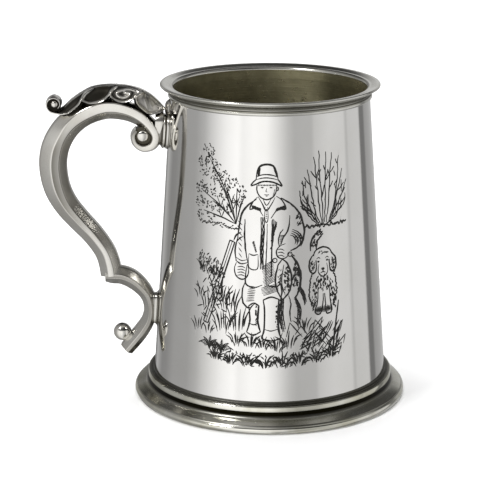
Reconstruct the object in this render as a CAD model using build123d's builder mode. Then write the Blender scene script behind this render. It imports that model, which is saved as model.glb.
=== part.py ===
from build123d import *
import os

# Lidless pewter pint tankard: a tapered drum with a flared rim and a spun foot, and a cast
# double-scroll handle with a leaf crest. Millimetres. The drum's axis is Z, the table is Z = 0,
# and the handle lies in the XZ plane on the -X side.

# Drum and floor
HEIGHT = 122.0
WALL = 1.3
DRUM_BOTTOM = 10.2
DRUM_BOTTOM_RADIUS = 45.05
DRUM_TOP = 116.6
DRUM_TAPER = 0.0677          # radius lost per millimetre of height
FLOOR_UNDERSIDE = 7.4
FLOOR_THICKNESS = 1.8

# Rim moulding
LIP_RADIUS = 41.7
LIP_EDGE = 0.9
LIP_ROUND = 0.5              # how far the rounded edge reaches in under and over the flange
LIP_DISH = 0.7               # the flange is this much lower at its inner edge
MOUTH_RADIUS = 36.6
MOUTH_ROUND = 0.8            # width of the rounding from the flange down to the inner wall
MOUTH_DROP = 1.6             # depth of that rounding
RIM_BEAD_RADIUS = 0.8
QUIRK = 0.2                  # small step between the bead and the hollow above it
RIM_HOLLOW = 1.2             # rise and reach of the middle of the hollow over the bead

# Foot
FOOT_RADIUS = 52.8
FOOT_EDGE = 3.0
FOOT_REST_WIDTH = 3.6
FOOT_WALL = 1.8
FOOT_FILLET = 0.6            # rounding in from the flange's edge, above and below
FLOOR_SEAT = 1.0             # the foot reaches this far in under the floor
FOOT_CEILING = 6.0           # height of the hollow underside
COVE_BOTTOM = 8.9            # narrow hollow just under the drum
COVE_DEPTH = 0.9
OVOLO_BOTTOM = 7.1           # rounded moulding under the hollow
OVOLO_REACH = 2.8
STEP_BOTTOM = 5.1            # upright step under the ovolo
STEP_REACH = 2.9

# Handle
GRIP_WIDTH = 11.0
LOWER_WIDTH = 9.4
VOLUTE_WIDTH = 9.0
CREST_WIDTH = 10.8
VOLUTE_EYE = (48.5, 102.0)   # reach from the axis, height
VOLUTE_EYE_RADIUS = 2.3
VOLUTE_EYE_LENGTH = 7.6
CURL_CENTRE = (81.9, 113.8)
CURL_RADIUS = 3.3
BALL_CENTRE = (57.5, 23.3)
BALL_RADIUS = 3.5
CURL_WIDTH = 7.6
SOCKET_HEIGHT = 13.6
SOCKET_WIDTH = 12.0
SOCKET_MID_HEIGHT = 103.4
SOCKET_CORNER = 0.42         # corner radius as a share of the ring's width
LUG_HEIGHT = 13.2
LUG_WIDTH = 8.4
LUG_MID_HEIGHT = 33.0
LUG_WAIST = 0.6              # the lug's upper and lower sides are hollowed this much
LUG_REACH = 3.2              # length from the drum into the scroll
BEDDING = 1.5                # the socket and lug are drawn this far into the drum, then trimmed

# Rings of the socket: start and end from the drum's wall, size as a share of the socket's
SOCKET_RINGS = [
    (-BEDDING, 0.9, 1.0),
    (0.9, 1.3, 0.9),
    (1.3, 2.5, 0.97),
    (2.5, 4.6, 0.86),
]

# Handle section: shares of the depth taken by the outer and inner chamfers, and of the width
# left flat on the back and on the finger side
OUTER_CHAMFER = 0.45
INNER_CHAMFER = 0.33
BACK_FLAT = 0.36
FINGER_FLAT = 0.40

# Stations of the two scrolls: reach from the drum's axis, height, depth in the handle's plane
UPPER_STATIONS = [
    (61.4, 47.0, 8.2), (62.1, 51.5, 8.2), (64.0, 56.8, 8.0), (68.3, 63.1, 8.2),
    (73.2, 68.6, 8.6), (78.0, 74.6, 9.2), (81.4, 81.5, 10.0), (82.7, 89.5, 10.6),
    (81.9, 96.5, 10.6), (79.2, 102.4, 10.2), (75.0, 107.2, 9.6), (69.2, 110.6, 8.8),
    (62.0, 112.2, 7.8), (55.5, 111.5, 7.2), (50.0, 109.2, 6.4), (45.7, 105.6, 5.0),
    (43.9, 101.8, 4.2), (45.0, 98.7, 4.0), (48.2, 97.5, 3.6), (51.0, 99.0, 2.9),
    (51.9, 101.9, 2.4), (50.8, 104.2, 2.0),
]
LOWER_STATIONS = [
    (63.6, 46.8, 5.6), (60.8, 46.7, 6.8), (57.4, 46.5, 7.0), (53.8, 45.0, 7.0),
    (50.4, 42.2, 6.3), (47.6, 38.3, 5.4), (46.6, 33.6, 4.8), (47.3, 28.6, 5.2),
    (49.8, 24.2, 5.8), (53.0, 20.1, 6.0), (56.0, 16.4, 5.6),
]
# The scrolls meet on a flat seam at the knuckle, through these two points
SEAM_OUTER = (64.4, 46.3)
SEAM_INNER = (58.0, 50.1)

# The grip reaches its full width at this share of the upper scroll's stations
FULL_GRIP = 0.35

# Side view of the leaf crest: reach and height along its back, then the cusps and the lowest
# points of the four lobes of its lower edge
CREST_BACK = [
    (39.4, 112.6), (42.8, 116.0), (48.5, 119.7), (57.0, 121.7),
    (65.3, 121.3), (72.0, 118.3), (78.4, 113.4),
]
CREST_TIP = (81.6, 110.8)
CREST_LOBES = [
    ((76.7, 111.2), (71.4, 115.6)),
    ((66.0, 114.7), (60.4, 117.6)),
    ((56.0, 115.3), (51.6, 116.6)),
    ((49.0, 111.4), (44.1, 110.4)),
]
CREST_HEEL = (39.4, 111.4)


def drum_radius(height):
    """Outer radius of the drum's wall at a height."""
    return DRUM_BOTTOM_RADIUS - DRUM_TAPER * (height - DRUM_BOTTOM)


def at(reach, height):
    """A point of the handle's plane, from its reach away from the axis and its height."""
    return Vector(-reach, 0, height)


def scroll_planes(stations, outward):
    """Section planes square to the smooth line through the stations; local +Y points outwards."""
    points = [at(reach, height) for reach, height, depth in stations]
    line = Edge.make_spline(points)
    width_direction = (0, outward, 0)
    return [
        Plane(origin=point, x_dir=width_direction, z_dir=line.tangent_at(line.param_at_point(point)))
        for point in points
    ]


def faceted_outline(width, depth):
    """Corners of the eight-sided handle section."""
    back = depth / 2
    shoulder = back - OUTER_CHAMFER * depth
    flank = INNER_CHAMFER * depth - back
    right = [
        (width / 2 * BACK_FLAT, back), (width / 2, shoulder),
        (width / 2, flank), (width / 2 * FINGER_FLAT, -back),
    ]
    left = [(-x, y) for x, y in reversed(right)]
    return right + left


def grip_width(index):
    """Width of the upper scroll: full on the grip, less at the knuckle and in the volute."""
    last = len(UPPER_STATIONS) - 1
    share = index / last
    if share < FULL_GRIP:
        return LOWER_WIDTH + (GRIP_WIDTH - LOWER_WIDTH) * share / FULL_GRIP
    return GRIP_WIDTH + (VOLUTE_WIDTH - GRIP_WIDTH) * (share - FULL_GRIP) / (1 - FULL_GRIP)


seam_plane = Plane(
    origin=at(*SEAM_INNER),
    x_dir=at(*SEAM_OUTER) - at(*SEAM_INNER),
    z_dir=(at(*SEAM_INNER) - at(*SEAM_OUTER)).cross(Vector(0, 1, 0)),
)

# Drum: the tapered wall, open at both ends
with BuildPart() as drum:
    with BuildSketch(Plane.XZ):
        with BuildLine():
            Polyline(
                (drum_radius(DRUM_BOTTOM) - WALL, DRUM_BOTTOM),
                (drum_radius(DRUM_BOTTOM), DRUM_BOTTOM),
                (drum_radius(DRUM_TOP), DRUM_TOP),
                (drum_radius(DRUM_TOP) - WALL, DRUM_TOP),
                close=True,
            )
        make_face()
    revolve(axis=Axis.Z)

# Rim moulding: dished flange, hollow under it, quirk and half-round bead over the drum's edge
with BuildPart() as rim_moulding:
    outer_wall = drum_radius(DRUM_TOP)
    inner_wall = outer_wall - WALL
    bead_foot = (outer_wall, DRUM_TOP)
    bead_side = (outer_wall + RIM_BEAD_RADIUS, DRUM_TOP + RIM_BEAD_RADIUS)
    bead_top = (outer_wall + QUIRK, DRUM_TOP + 2 * RIM_BEAD_RADIUS)
    hollow_middle = (outer_wall + RIM_HOLLOW, DRUM_TOP + 2 * RIM_BEAD_RADIUS + RIM_HOLLOW)
    lip_under = (LIP_RADIUS - LIP_ROUND, HEIGHT - LIP_EDGE)
    lip_side = (LIP_RADIUS, HEIGHT - LIP_EDGE / 2)
    lip_over = (LIP_RADIUS - LIP_ROUND, HEIGHT)
    mouth_edge = (MOUTH_RADIUS + MOUTH_ROUND, HEIGHT - LIP_DISH)
    mouth_corner = (MOUTH_RADIUS + MOUTH_ROUND / 8, HEIGHT - LIP_DISH - MOUTH_DROP / 4)
    mouth_foot = (inner_wall, HEIGHT - LIP_DISH - MOUTH_DROP)
    with BuildSketch(Plane.XZ):
        with BuildLine():
            Line((inner_wall, DRUM_TOP), bead_foot)
            ThreePointArc(bead_foot, bead_side, bead_top)
            Spline(bead_top, hollow_middle, lip_under, tangents=[(0.1, 1), (1, 0.3)])
            ThreePointArc(lip_under, lip_side, lip_over)
            Line(lip_over, mouth_edge)
            ThreePointArc(mouth_edge, mouth_corner, mouth_foot)
            Line(mouth_foot, (inner_wall, DRUM_TOP))
        make_face()
    revolve(axis=Axis.Z)

# Floor: a flat plate inside the foot, under the drum
with BuildPart() as floor_plate:
    with BuildSketch(Plane.XY.offset(FLOOR_UNDERSIDE)):
        Circle(drum_radius(DRUM_BOTTOM) - WALL)
    extrude(amount=FLOOR_THICKNESS)

# Foot: a spun moulding with a narrow hollow, an ovolo, a step and a spreading flange
with BuildPart() as foot_ring:
    drum_edge = drum_radius(DRUM_BOTTOM)
    floor_edge = drum_edge - WALL
    cove_top = (drum_edge + COVE_DEPTH / 3, DRUM_BOTTOM)
    cove_middle = (drum_edge + COVE_DEPTH / 2, (DRUM_BOTTOM + COVE_BOTTOM) / 2)
    cove_foot = (drum_edge + COVE_DEPTH, COVE_BOTTOM)
    ovolo_middle = (drum_edge + 0.8 * OVOLO_REACH, 0.7 * COVE_BOTTOM + 0.3 * OVOLO_BOTTOM)
    ovolo_foot = (drum_edge + OVOLO_REACH, OVOLO_BOTTOM)
    step_foot = (drum_edge + STEP_REACH, STEP_BOTTOM)
    flange_middle = (drum_edge + STEP_REACH + 1.7, (STEP_BOTTOM + FOOT_EDGE) / 2)
    flange_edge = (FOOT_RADIUS - FOOT_FILLET, FOOT_EDGE)
    foot_side = (FOOT_RADIUS, 0.6 * FOOT_EDGE)
    foot_bottom = (FOOT_RADIUS - FOOT_FILLET, 0)
    rest_inside = (FOOT_RADIUS - FOOT_FILLET - FOOT_REST_WIDTH, 0)
    with BuildSketch(Plane.XZ):
        with BuildLine():
            Line((floor_edge, DRUM_BOTTOM), cove_top)
            ThreePointArc(cove_top, cove_middle, cove_foot)
            ThreePointArc(cove_foot, ovolo_middle, ovolo_foot)
            Line(ovolo_foot, step_foot)
            Spline(step_foot, flange_middle, flange_edge, tangents=[(1, -0.8), (1, -0.25)])
            ThreePointArc(flange_edge, foot_side, foot_bottom)
            Polyline(
                foot_bottom,
                rest_inside,
                (drum_edge + STEP_REACH - FOOT_WALL, FOOT_EDGE),
                (drum_edge + OVOLO_REACH - FOOT_WALL, FOOT_CEILING),
                (floor_edge - FLOOR_SEAT, FOOT_CEILING + (FLOOR_UNDERSIDE - FOOT_CEILING) / 3),
                (floor_edge - FLOOR_SEAT, FLOOR_UNDERSIDE),
                (floor_edge, FLOOR_UNDERSIDE),
                (floor_edge, DRUM_BOTTOM),
            )
        make_face()
    revolve(axis=Axis.Z)

# Cone that fills the drum's outer surface, to fit the handle's feet to the drum
with BuildPart() as drum_envelope:
    with BuildSketch(Plane.XZ):
        with BuildLine():
            Polyline(
                (0, DRUM_BOTTOM), (drum_radius(DRUM_BOTTOM), DRUM_BOTTOM),
                (drum_radius(DRUM_TOP), DRUM_TOP), (0, DRUM_TOP),
                close=True,
            )
        make_face()
    revolve(axis=Axis.Z)

# Upper scroll: from the knuckle up the grip, over the arch and round into the volute and its eye
with BuildPart() as upper_scroll:
    for index, plane in enumerate(scroll_planes(UPPER_STATIONS, 1)):
        with BuildSketch(plane):
            Polygon(*faceted_outline(grip_width(index), UPPER_STATIONS[index][2]), align=None)
    loft()
    split(bisect_by=seam_plane, keep=Keep.TOP)
    with Locations(at(*VOLUTE_EYE)):
        Cylinder(VOLUTE_EYE_RADIUS, VOLUTE_EYE_LENGTH, rotation=(90, 0, 0))
    for side in (-1, 1):
        with Locations(at(*VOLUTE_EYE) + Vector(0, side * VOLUTE_EYE_LENGTH / 2, 0)):
            Sphere(VOLUTE_EYE_RADIUS)

# Lower scroll: from the knuckle round the small C to the heel
with BuildPart() as lower_scroll:
    for index, plane in enumerate(scroll_planes(LOWER_STATIONS, -1)):
        with BuildSketch(plane):
            Polygon(*faceted_outline(LOWER_WIDTH, LOWER_STATIONS[index][2]), align=None)
    loft()
    split(bisect_by=seam_plane, keep=Keep.BOTTOM)

# Ball on the heel of the lower scroll, bedded into its open side
with BuildPart() as heel_ball:
    with Locations(at(*BALL_CENTRE)):
        Sphere(BALL_RADIUS)
    add(lower_scroll.part, mode=Mode.SUBTRACT)

# Socket: a flanged, ringed neck between the volute and the drum
with BuildPart() as upper_socket:
    drum_reach = drum_radius(SOCKET_MID_HEIGHT)
    for near, far, size in SOCKET_RINGS:
        ring_start = at(drum_reach + near, SOCKET_MID_HEIGHT)
        with BuildSketch(Plane(origin=ring_start, x_dir=(0, 1, 0), z_dir=(-1, 0, 0))):
            RectangleRounded(SOCKET_WIDTH * size, SOCKET_HEIGHT * size, SOCKET_WIDTH * size * SOCKET_CORNER)
        extrude(amount=far - near)
    add(upper_scroll.part, mode=Mode.SUBTRACT)
    add(drum_envelope.part, mode=Mode.SUBTRACT)

# Lug: the short web, waisted above and below, that ties the lower scroll to the drum
with BuildPart() as lower_lug:
    lug_near = drum_radius(LUG_MID_HEIGHT) - BEDDING
    lug_far = drum_radius(LUG_MID_HEIGHT) + LUG_REACH
    lug_middle = (lug_near + lug_far) / 2
    lug_top = LUG_MID_HEIGHT + LUG_HEIGHT / 2
    lug_bottom = LUG_MID_HEIGHT - LUG_HEIGHT / 2
    upper_near = (-lug_near, lug_top + LUG_WAIST)
    upper_middle = (-lug_middle, lug_top - LUG_WAIST)
    upper_far = (-lug_far, lug_top)
    lower_far = (-lug_far, lug_bottom)
    lower_middle = (-lug_middle, lug_bottom + LUG_WAIST)
    lower_near = (-lug_near, lug_bottom - LUG_WAIST)
    with BuildSketch(Plane.XZ):
        with BuildLine():
            ThreePointArc(upper_near, upper_middle, upper_far)
            Line(upper_far, lower_far)
            ThreePointArc(lower_far, lower_middle, lower_near)
            Line(lower_near, upper_near)
        make_face()
    extrude(amount=LUG_WIDTH / 2, both=True)
    add(lower_scroll.part, mode=Mode.SUBTRACT)
    add(drum_envelope.part, mode=Mode.SUBTRACT)

# Leaf crest: a saddle of overlapping leaves along the arch, ending in a curl above the grip
with BuildPart() as leaf_crest:
    with BuildSketch(Plane.XZ):
        with BuildLine():
            Spline(*[(-reach, height) for reach, height in CREST_BACK])
            tip = (-CREST_TIP[0], CREST_TIP[1])
            Line((-CREST_BACK[-1][0], CREST_BACK[-1][1]), tip)
            lobe_start = tip
            for (low_reach, low_height), (end_reach, end_height) in CREST_LOBES:
                lobe_end = (-end_reach, end_height)
                ThreePointArc(lobe_start, (-low_reach, low_height), lobe_end)
                lobe_start = lobe_end
            heel = (-CREST_HEEL[0], CREST_HEEL[1])
            Line(lobe_start, heel)
            Line(heel, (-CREST_BACK[0][0], CREST_BACK[0][1]))
        make_face()
    extrude(amount=CREST_WIDTH / 2, both=True)
    with Locations(at(*CURL_CENTRE)):
        Cylinder(CURL_RADIUS, CURL_WIDTH, rotation=(90, 0, 0))
    add(upper_scroll.part, mode=Mode.SUBTRACT)
    add(upper_socket.part, mode=Mode.SUBTRACT)

os.makedirs("parts", exist_ok=True)

pieces = {
    "drum": drum,
    "rim_moulding": rim_moulding,
    "floor_plate": floor_plate,
    "foot_ring": foot_ring,
    "upper_scroll": upper_scroll,
    "lower_scroll": lower_scroll,
    "heel_ball": heel_ball,
    "upper_socket": upper_socket,
    "lower_lug": lower_lug,
    "leaf_crest": leaf_crest,
}
for name, piece in pieces.items():
    piece.part.label = name
    export_step(piece.part, f"parts/{name}.step")
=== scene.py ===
import math
import random

import bmesh
import bpy
import numpy as np
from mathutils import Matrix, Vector
from mathutils.geometry import delaunay_2d_cdt


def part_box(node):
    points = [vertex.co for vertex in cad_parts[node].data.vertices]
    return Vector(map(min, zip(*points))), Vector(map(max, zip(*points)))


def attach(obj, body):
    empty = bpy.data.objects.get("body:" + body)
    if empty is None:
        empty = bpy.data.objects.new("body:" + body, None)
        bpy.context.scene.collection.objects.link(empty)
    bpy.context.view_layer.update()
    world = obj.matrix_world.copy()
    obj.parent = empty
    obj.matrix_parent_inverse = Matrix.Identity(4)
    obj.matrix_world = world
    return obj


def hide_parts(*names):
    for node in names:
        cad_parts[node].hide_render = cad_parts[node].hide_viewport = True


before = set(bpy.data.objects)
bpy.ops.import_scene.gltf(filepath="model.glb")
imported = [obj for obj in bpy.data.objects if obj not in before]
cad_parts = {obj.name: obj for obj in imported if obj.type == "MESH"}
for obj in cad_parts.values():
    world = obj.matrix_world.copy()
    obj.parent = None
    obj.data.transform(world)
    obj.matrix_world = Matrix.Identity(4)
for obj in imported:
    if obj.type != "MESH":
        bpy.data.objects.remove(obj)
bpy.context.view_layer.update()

MM = 0.001
TURNS = 256                      # facets round every turned piece

# Kinds of face on the drum
SMOOTH, CUT, INSIDE, FLAT = range(4)

# The turned pieces' main sizes, in millimetres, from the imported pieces
DRUM_LOW, DRUM_HIGH = (Vector(corner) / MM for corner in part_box("drum"))
RIM_HIGH = Vector(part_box("rim_moulding")[1]) / MM
FOOT_HIGH = Vector(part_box("foot_ring")[1]) / MM
FLOOR_LOW, FLOOR_HIGH = (Vector(corner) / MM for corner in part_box("floor_plate"))
DRUM_BOTTOM, DRUM_TOP = DRUM_LOW.z, DRUM_HIGH.z
DRUM_BOTTOM_RADIUS = DRUM_HIGH.x
DRUM_TAPER = 0.0677              # the drum's radius shrinks by this much for each millimetre up
WALL = 1.3
HEIGHT = RIM_HIGH.z
LIP_RADIUS = RIM_HIGH.x
FOOT_RADIUS = FOOT_HIGH.x


def drum_radius(height):
    """Outer radius of the drum's wall at a height, in millimetres."""
    return DRUM_BOTTOM_RADIUS - DRUM_TAPER * (height - DRUM_BOTTOM)


# ---------------------------------------------------------------- mesh helpers

def make_object(name, vertices, faces, materials, face_materials=None, sharp_angle=35.0):
    """A smooth-shaded mesh object from millimetre vertices."""
    mesh = bpy.data.meshes.new(name)
    mesh.from_pydata([(x * MM, y * MM, z * MM) for x, y, z in vertices], [], faces)
    for material in materials:
        mesh.materials.append(material)
    if face_materials is not None:
        mesh.polygons.foreach_set("material_index", face_materials)
    mesh.polygons.foreach_set("use_smooth", [True] * len(mesh.polygons))
    mesh.set_sharp_from_angle(angle=math.radians(sharp_angle))
    mesh.update()
    piece = bpy.data.objects.new(name, mesh)
    bpy.context.scene.collection.objects.link(piece)
    return piece


def store_patina_and_shade(piece, tones):
    """Stores how much patina and painted shade each vertex holds, for the materials to read."""
    patina_and_shade = piece.data.attributes.new("patina_and_shade", "FLOAT", "POINT")
    patina_and_shade.data.foreach_set("value", tones)


def finish_piece(piece, node):
    """Rides on the body and stands for its CAD node, which it hides."""
    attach(piece, "root")
    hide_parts(node)


def arc(centre, radius, start, end, steps=10):
    """Points of a circular arc in the profile plane; angles in degrees."""
    points = []
    for step in range(steps + 1):
        angle = math.radians(start + (end - start) * step / steps)
        points.append((centre[0] + radius * math.cos(angle), centre[1] + radius * math.sin(angle)))
    return points


def curve_through(points, steps=8):
    """A smooth line through 2-D or 3-D points (Catmull-Rom)."""
    points = [np.array(point, dtype=float) for point in points]
    first = 2 * points[0] - points[1]
    last = 2 * points[-1] - points[-2]
    padded = [first] + points + [last]
    line = []
    for index in range(1, len(padded) - 2):
        a, b, c, d = padded[index - 1:index + 3]
        for step in range(steps):
            t = step / steps
            line.append(0.5 * (2 * b + (c - a) * t + (2 * a - 5 * b + 4 * c - d) * t ** 2
                               + (3 * b - a - 3 * c + d) * t ** 3))
    line.append(padded[-2])
    return line


PLAIN = ((0.0, 0.0), (200.0, 0.0))   # no patina or painted shade at any height


def lathe(name, profile, materials, tones=PLAIN, inner_sides=0):
    """A closed profile of (radius, height) points turned round the drum's axis.

    tones gives the patina and painted shade laid on at each height, as (height, amount), stored at the
    vertices. The last inner_sides sides of the profile take the second material."""
    count = len(profile)
    vertices = []
    for turn in range(TURNS):
        angle = 2 * math.pi * turn / TURNS
        cosine, sine = math.cos(angle), math.sin(angle)
        vertices += [(radius * cosine, radius * sine, height) for radius, height in profile]
    faces = []
    for turn in range(TURNS):
        here, there = turn * count, ((turn + 1) % TURNS) * count
        for index in range(count):
            after = (index + 1) % count
            faces.append((here + index, there + index, there + after, here + after))
    kinds = [0] * (count - inner_sides) + [1] * inner_sides
    piece = make_object(name, vertices, faces, materials, kinds * TURNS)
    store_patina_and_shade(piece, np.interp([vertex[2] for vertex in vertices], *zip(*tones)))
    return piece


# ---------------------------------------------------------------- materials

class Nodes:
    """Small helper that adds and links shader nodes in one node tree."""

    def __init__(self, owner):
        owner.use_nodes = True
        self.tree = owner.node_tree
        self.shader = self.tree.nodes.get("Principled BSDF")

    def add(self, kind, **settings):
        """Adds a node; settings are its properties, or its inputs with _ for a space."""
        node = self.tree.nodes.new(kind)
        for key, value in settings.items():
            if hasattr(node, key):
                setattr(node, key, value)
            else:
                node.inputs[key.replace("_", " ")].default_value = value
        return node

    def link(self, source, target):
        self.tree.links.new(source, target)

    def ramp(self, source, stops):
        """A colour ramp over greys or colours, given as (position, value) stops."""
        node = self.add("ShaderNodeValToRGB")
        elements = node.color_ramp.elements
        while len(elements) < len(stops):
            elements.new(0.5)
        for element, (position, value) in zip(elements, stops):
            element.position = position
            element.color = (value, value, value, 1) if isinstance(value, (int, float)) else (*value, 1)
        self.link(source, node.inputs["Fac"])
        return node.outputs["Color"]

    def math(self, operation, *operands):
        """A math node over sockets and numbers."""
        node = self.add("ShaderNodeMath", operation=operation)
        for operand, socket in zip(operands, node.inputs):
            if isinstance(operand, float):
                socket.default_value = operand
            else:
                self.link(operand, socket)
        return node.outputs[0]

    def noise(self, place, **settings):
        """A noise texture over a place."""
        node = self.add("ShaderNodeTexNoise", **settings)
        self.link(place, node.inputs["Vector"])
        return node.outputs["Fac"]

    def bump(self, height, normal=None, **settings):
        """A bump from a height, over another normal if one is given."""
        node = self.add("ShaderNodeBump", **settings)
        self.link(height, node.inputs["Height"])
        if normal is not None:
            self.link(normal, node.inputs["Normal"])
        return node.outputs["Normal"]


PATINA_ROUGHNESS = 0.35          # full patina and painted shade make the metal this much rougher than the bare metal


def pewter(name, colour, dull_colour, roughness, cloud_scale, scratch, wave=0.0, lines=None, patina_and_shade=None):
    """Pewter: cloudy tarnish, fine random scratches, a slight waviness, and polishing lines.

    lines is the height frequency of the rings left by turning; the last argument is the dark colour
    of patina and painted shade, laid on by the amount each piece stores at its vertices."""
    material = bpy.data.materials.new(name)
    nodes = Nodes(material)
    nodes.shader.inputs["Metallic"].default_value = 1.0
    place = nodes.add("ShaderNodeTexCoord").outputs["Object"]

    cloud = nodes.noise(place, Scale=cloud_scale, Detail=5.0, Roughness=0.6)
    tint = nodes.add("ShaderNodeMix", data_type="RGBA", A=(*colour, 1), B=(*dull_colour, 1))
    nodes.link(nodes.ramp(cloud, [(0.42, 0.0), (0.75, 1.0)]), tint.inputs["Factor"])
    colour_out = tint.outputs["Result"]

    grain = nodes.noise(place, Scale=cloud_scale * 22, Detail=3.0, Roughness=0.7)
    wear = nodes.math("MULTIPLY_ADD", grain, 0.5, nodes.math("MULTIPLY", cloud, 0.5))
    rough = nodes.add("ShaderNodeMapRange", From_Min=0.3, From_Max=0.7,
                      To_Min=roughness * 0.75, To_Max=roughness * 1.35)
    nodes.link(wear, rough.inputs["Value"])
    rough_out = rough.outputs["Result"]

    # Patina in recesses and painted shade: the stored amount darkens the colour and roughens the metal
    if patina_and_shade is not None:
        patina_and_shade_amount = nodes.add("ShaderNodeAttribute", attribute_name="patina_and_shade").outputs["Fac"]
        dark = nodes.add("ShaderNodeMix", data_type="RGBA", B=(*patina_and_shade, 1))
        nodes.link(patina_and_shade_amount, dark.inputs["Factor"])
        nodes.link(colour_out, dark.inputs["A"])
        colour_out = dark.outputs["Result"]
        rough_out = nodes.math("MULTIPLY_ADD", patina_and_shade_amount, PATINA_ROUGHNESS, rough_out)

    nodes.link(colour_out, nodes.shader.inputs["Base Color"])
    nodes.link(rough_out, nodes.shader.inputs["Roughness"])

    height = grain
    if lines:
        stretch = nodes.add("ShaderNodeMapping", Scale=(6.0, 6.0, lines))
        nodes.link(place, stretch.inputs["Vector"])
        height = nodes.noise(stretch.outputs["Vector"], Scale=1.0, Detail=4.0, Roughness=0.75)
    normal = nodes.bump(height, Strength=scratch, Distance=0.0002)
    if wave:
        ripple = nodes.noise(place, Scale=18.0, Detail=1.0)
        normal = nodes.bump(ripple, normal, Strength=wave, Distance=0.002)
    nodes.link(normal, nodes.shader.inputs["Normal"])
    return material


def cut_finish():
    """Near-black patina left in the engraved cuts, a little worn and uneven."""
    material = bpy.data.materials.new("engraving_patina")
    nodes = Nodes(material)
    place = nodes.add("ShaderNodeTexCoord").outputs["Object"]
    grain = nodes.noise(place, Scale=1400.0, Detail=3.0, Roughness=0.6)
    colour = nodes.ramp(grain, [(0.35, (0.004, 0.004, 0.003)), (0.75, (0.020, 0.018, 0.014))])
    nodes.link(colour, nodes.shader.inputs["Base Color"])
    nodes.link(nodes.ramp(grain, [(0.3, 0.45), (0.7, 0.75)]), nodes.shader.inputs["Roughness"])
    return material


def add_brushing(material, amount, metallic):
    """Dull turned finish: reflections spread across the rings left by the tool."""
    nodes = Nodes(material)
    nodes.shader.inputs["Metallic"].default_value = metallic
    rings = nodes.add("ShaderNodeTangent", direction_type="RADIAL", axis="Z")
    nodes.link(rings.outputs["Tangent"], nodes.shader.inputs["Tangent"])
    nodes.shader.inputs["Anisotropic"].default_value = amount
    nodes.shader.inputs["Anisotropic Rotation"].default_value = 0.25


BRIGHT = (0.80, 0.79, 0.77)
WARM = (0.70, 0.67, 0.61)
drum_metal = pewter("drum_polish", BRIGHT, (0.76, 0.75, 0.72), 0.07, 40, 0.012)
cut_metal = cut_finish()
inside_metal = pewter("drum_inside", (0.46, 0.42, 0.26), (0.085, 0.078, 0.036), 0.30, 26, 0.8, lines=2600.0)
add_brushing(inside_metal, 0.95, 0.93)
rim_metal = pewter("rim_satin", (0.72, 0.71, 0.66), (0.62, 0.605, 0.54), 0.15, 80, 0.05, lines=3000.0,
                   patina_and_shade=(0.05, 0.046, 0.03))
# The foot's near-black dark colour carries painted shade and painted dark reflections as well as patina
foot_metal = pewter("foot_polish", (0.80, 0.79, 0.72), (0.42, 0.40, 0.27), 0.09, 45, 0.012, lines=1500.0,
                    patina_and_shade=(0.008, 0.007, 0.003))
floor_metal = pewter("floor_satin", (0.45, 0.43, 0.38), (0.36, 0.34, 0.29), 0.35, 70, 0.2, lines=2000.0)
cast_metal = pewter("cast_polish", (0.77, 0.755, 0.71), WARM, 0.11, 90, 0.05, wave=0.16,
                    patina_and_shade=(0.05, 0.043, 0.026))
crest_metal = pewter("crest_cast", (0.78, 0.765, 0.73), WARM, 0.14, 90, 0.08, wave=0.12,
                     patina_and_shade=(0.022, 0.02, 0.016))


# ---------------------------------------------------------------- turned pieces

def rim_profile():
    """Lip: a dished flange with a thin rounded edge, a hollow under it and a half-round bead."""
    bead_radius = 0.8
    outer, inner = drum_radius(DRUM_TOP), drum_radius(DRUM_TOP) - WALL
    points = [(inner, DRUM_TOP), (outer, DRUM_TOP)]
    points += arc((outer, DRUM_TOP + bead_radius), bead_radius, -80, 78, 14)
    points += [tuple(point) for point in curve_through(
        [(outer + 0.12, DRUM_TOP + 1.66), (outer + 0.3, DRUM_TOP + 2.2), (outer + 1.1, DRUM_TOP + 3.0),
         (outer + 2.3, DRUM_TOP + 3.7), (LIP_RADIUS - 0.45, HEIGHT - 1.0)], 5)]
    points += arc((LIP_RADIUS - 0.5, HEIGHT - 0.5), 0.5, -80, 88, 10)
    points += [(LIP_RADIUS - 1.6, HEIGHT - 0.12), (inner + 1.9, HEIGHT - 0.62)]
    points += arc((inner + 1.3, HEIGHT - 2.0), 1.3, 85, 180, 10)
    points += [(inner, DRUM_TOP + 0.6)]
    return points


# Patina and painted shade on the lip, by height: dark lines painted under the bead, above it and under the
# lip's rounded edge
RIM_TONES = ((DRUM_TOP, 0.9), (DRUM_TOP + 0.12, 0.8), (DRUM_TOP + 0.3, 0.0), (DRUM_TOP + 1.35, 0.0),
             (DRUM_TOP + 1.55, 0.9), (DRUM_TOP + 1.72, 0.75), (DRUM_TOP + 2.1, 0.15), (HEIGHT - 1.3, 0.1),
             (HEIGHT - 1.0, 0.5), (HEIGHT - 0.85, 0.0))
rim = lathe("rim", rim_profile(), [rim_metal, inside_metal], RIM_TONES, inner_sides=2)
finish_piece(rim, "rim_moulding")


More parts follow.
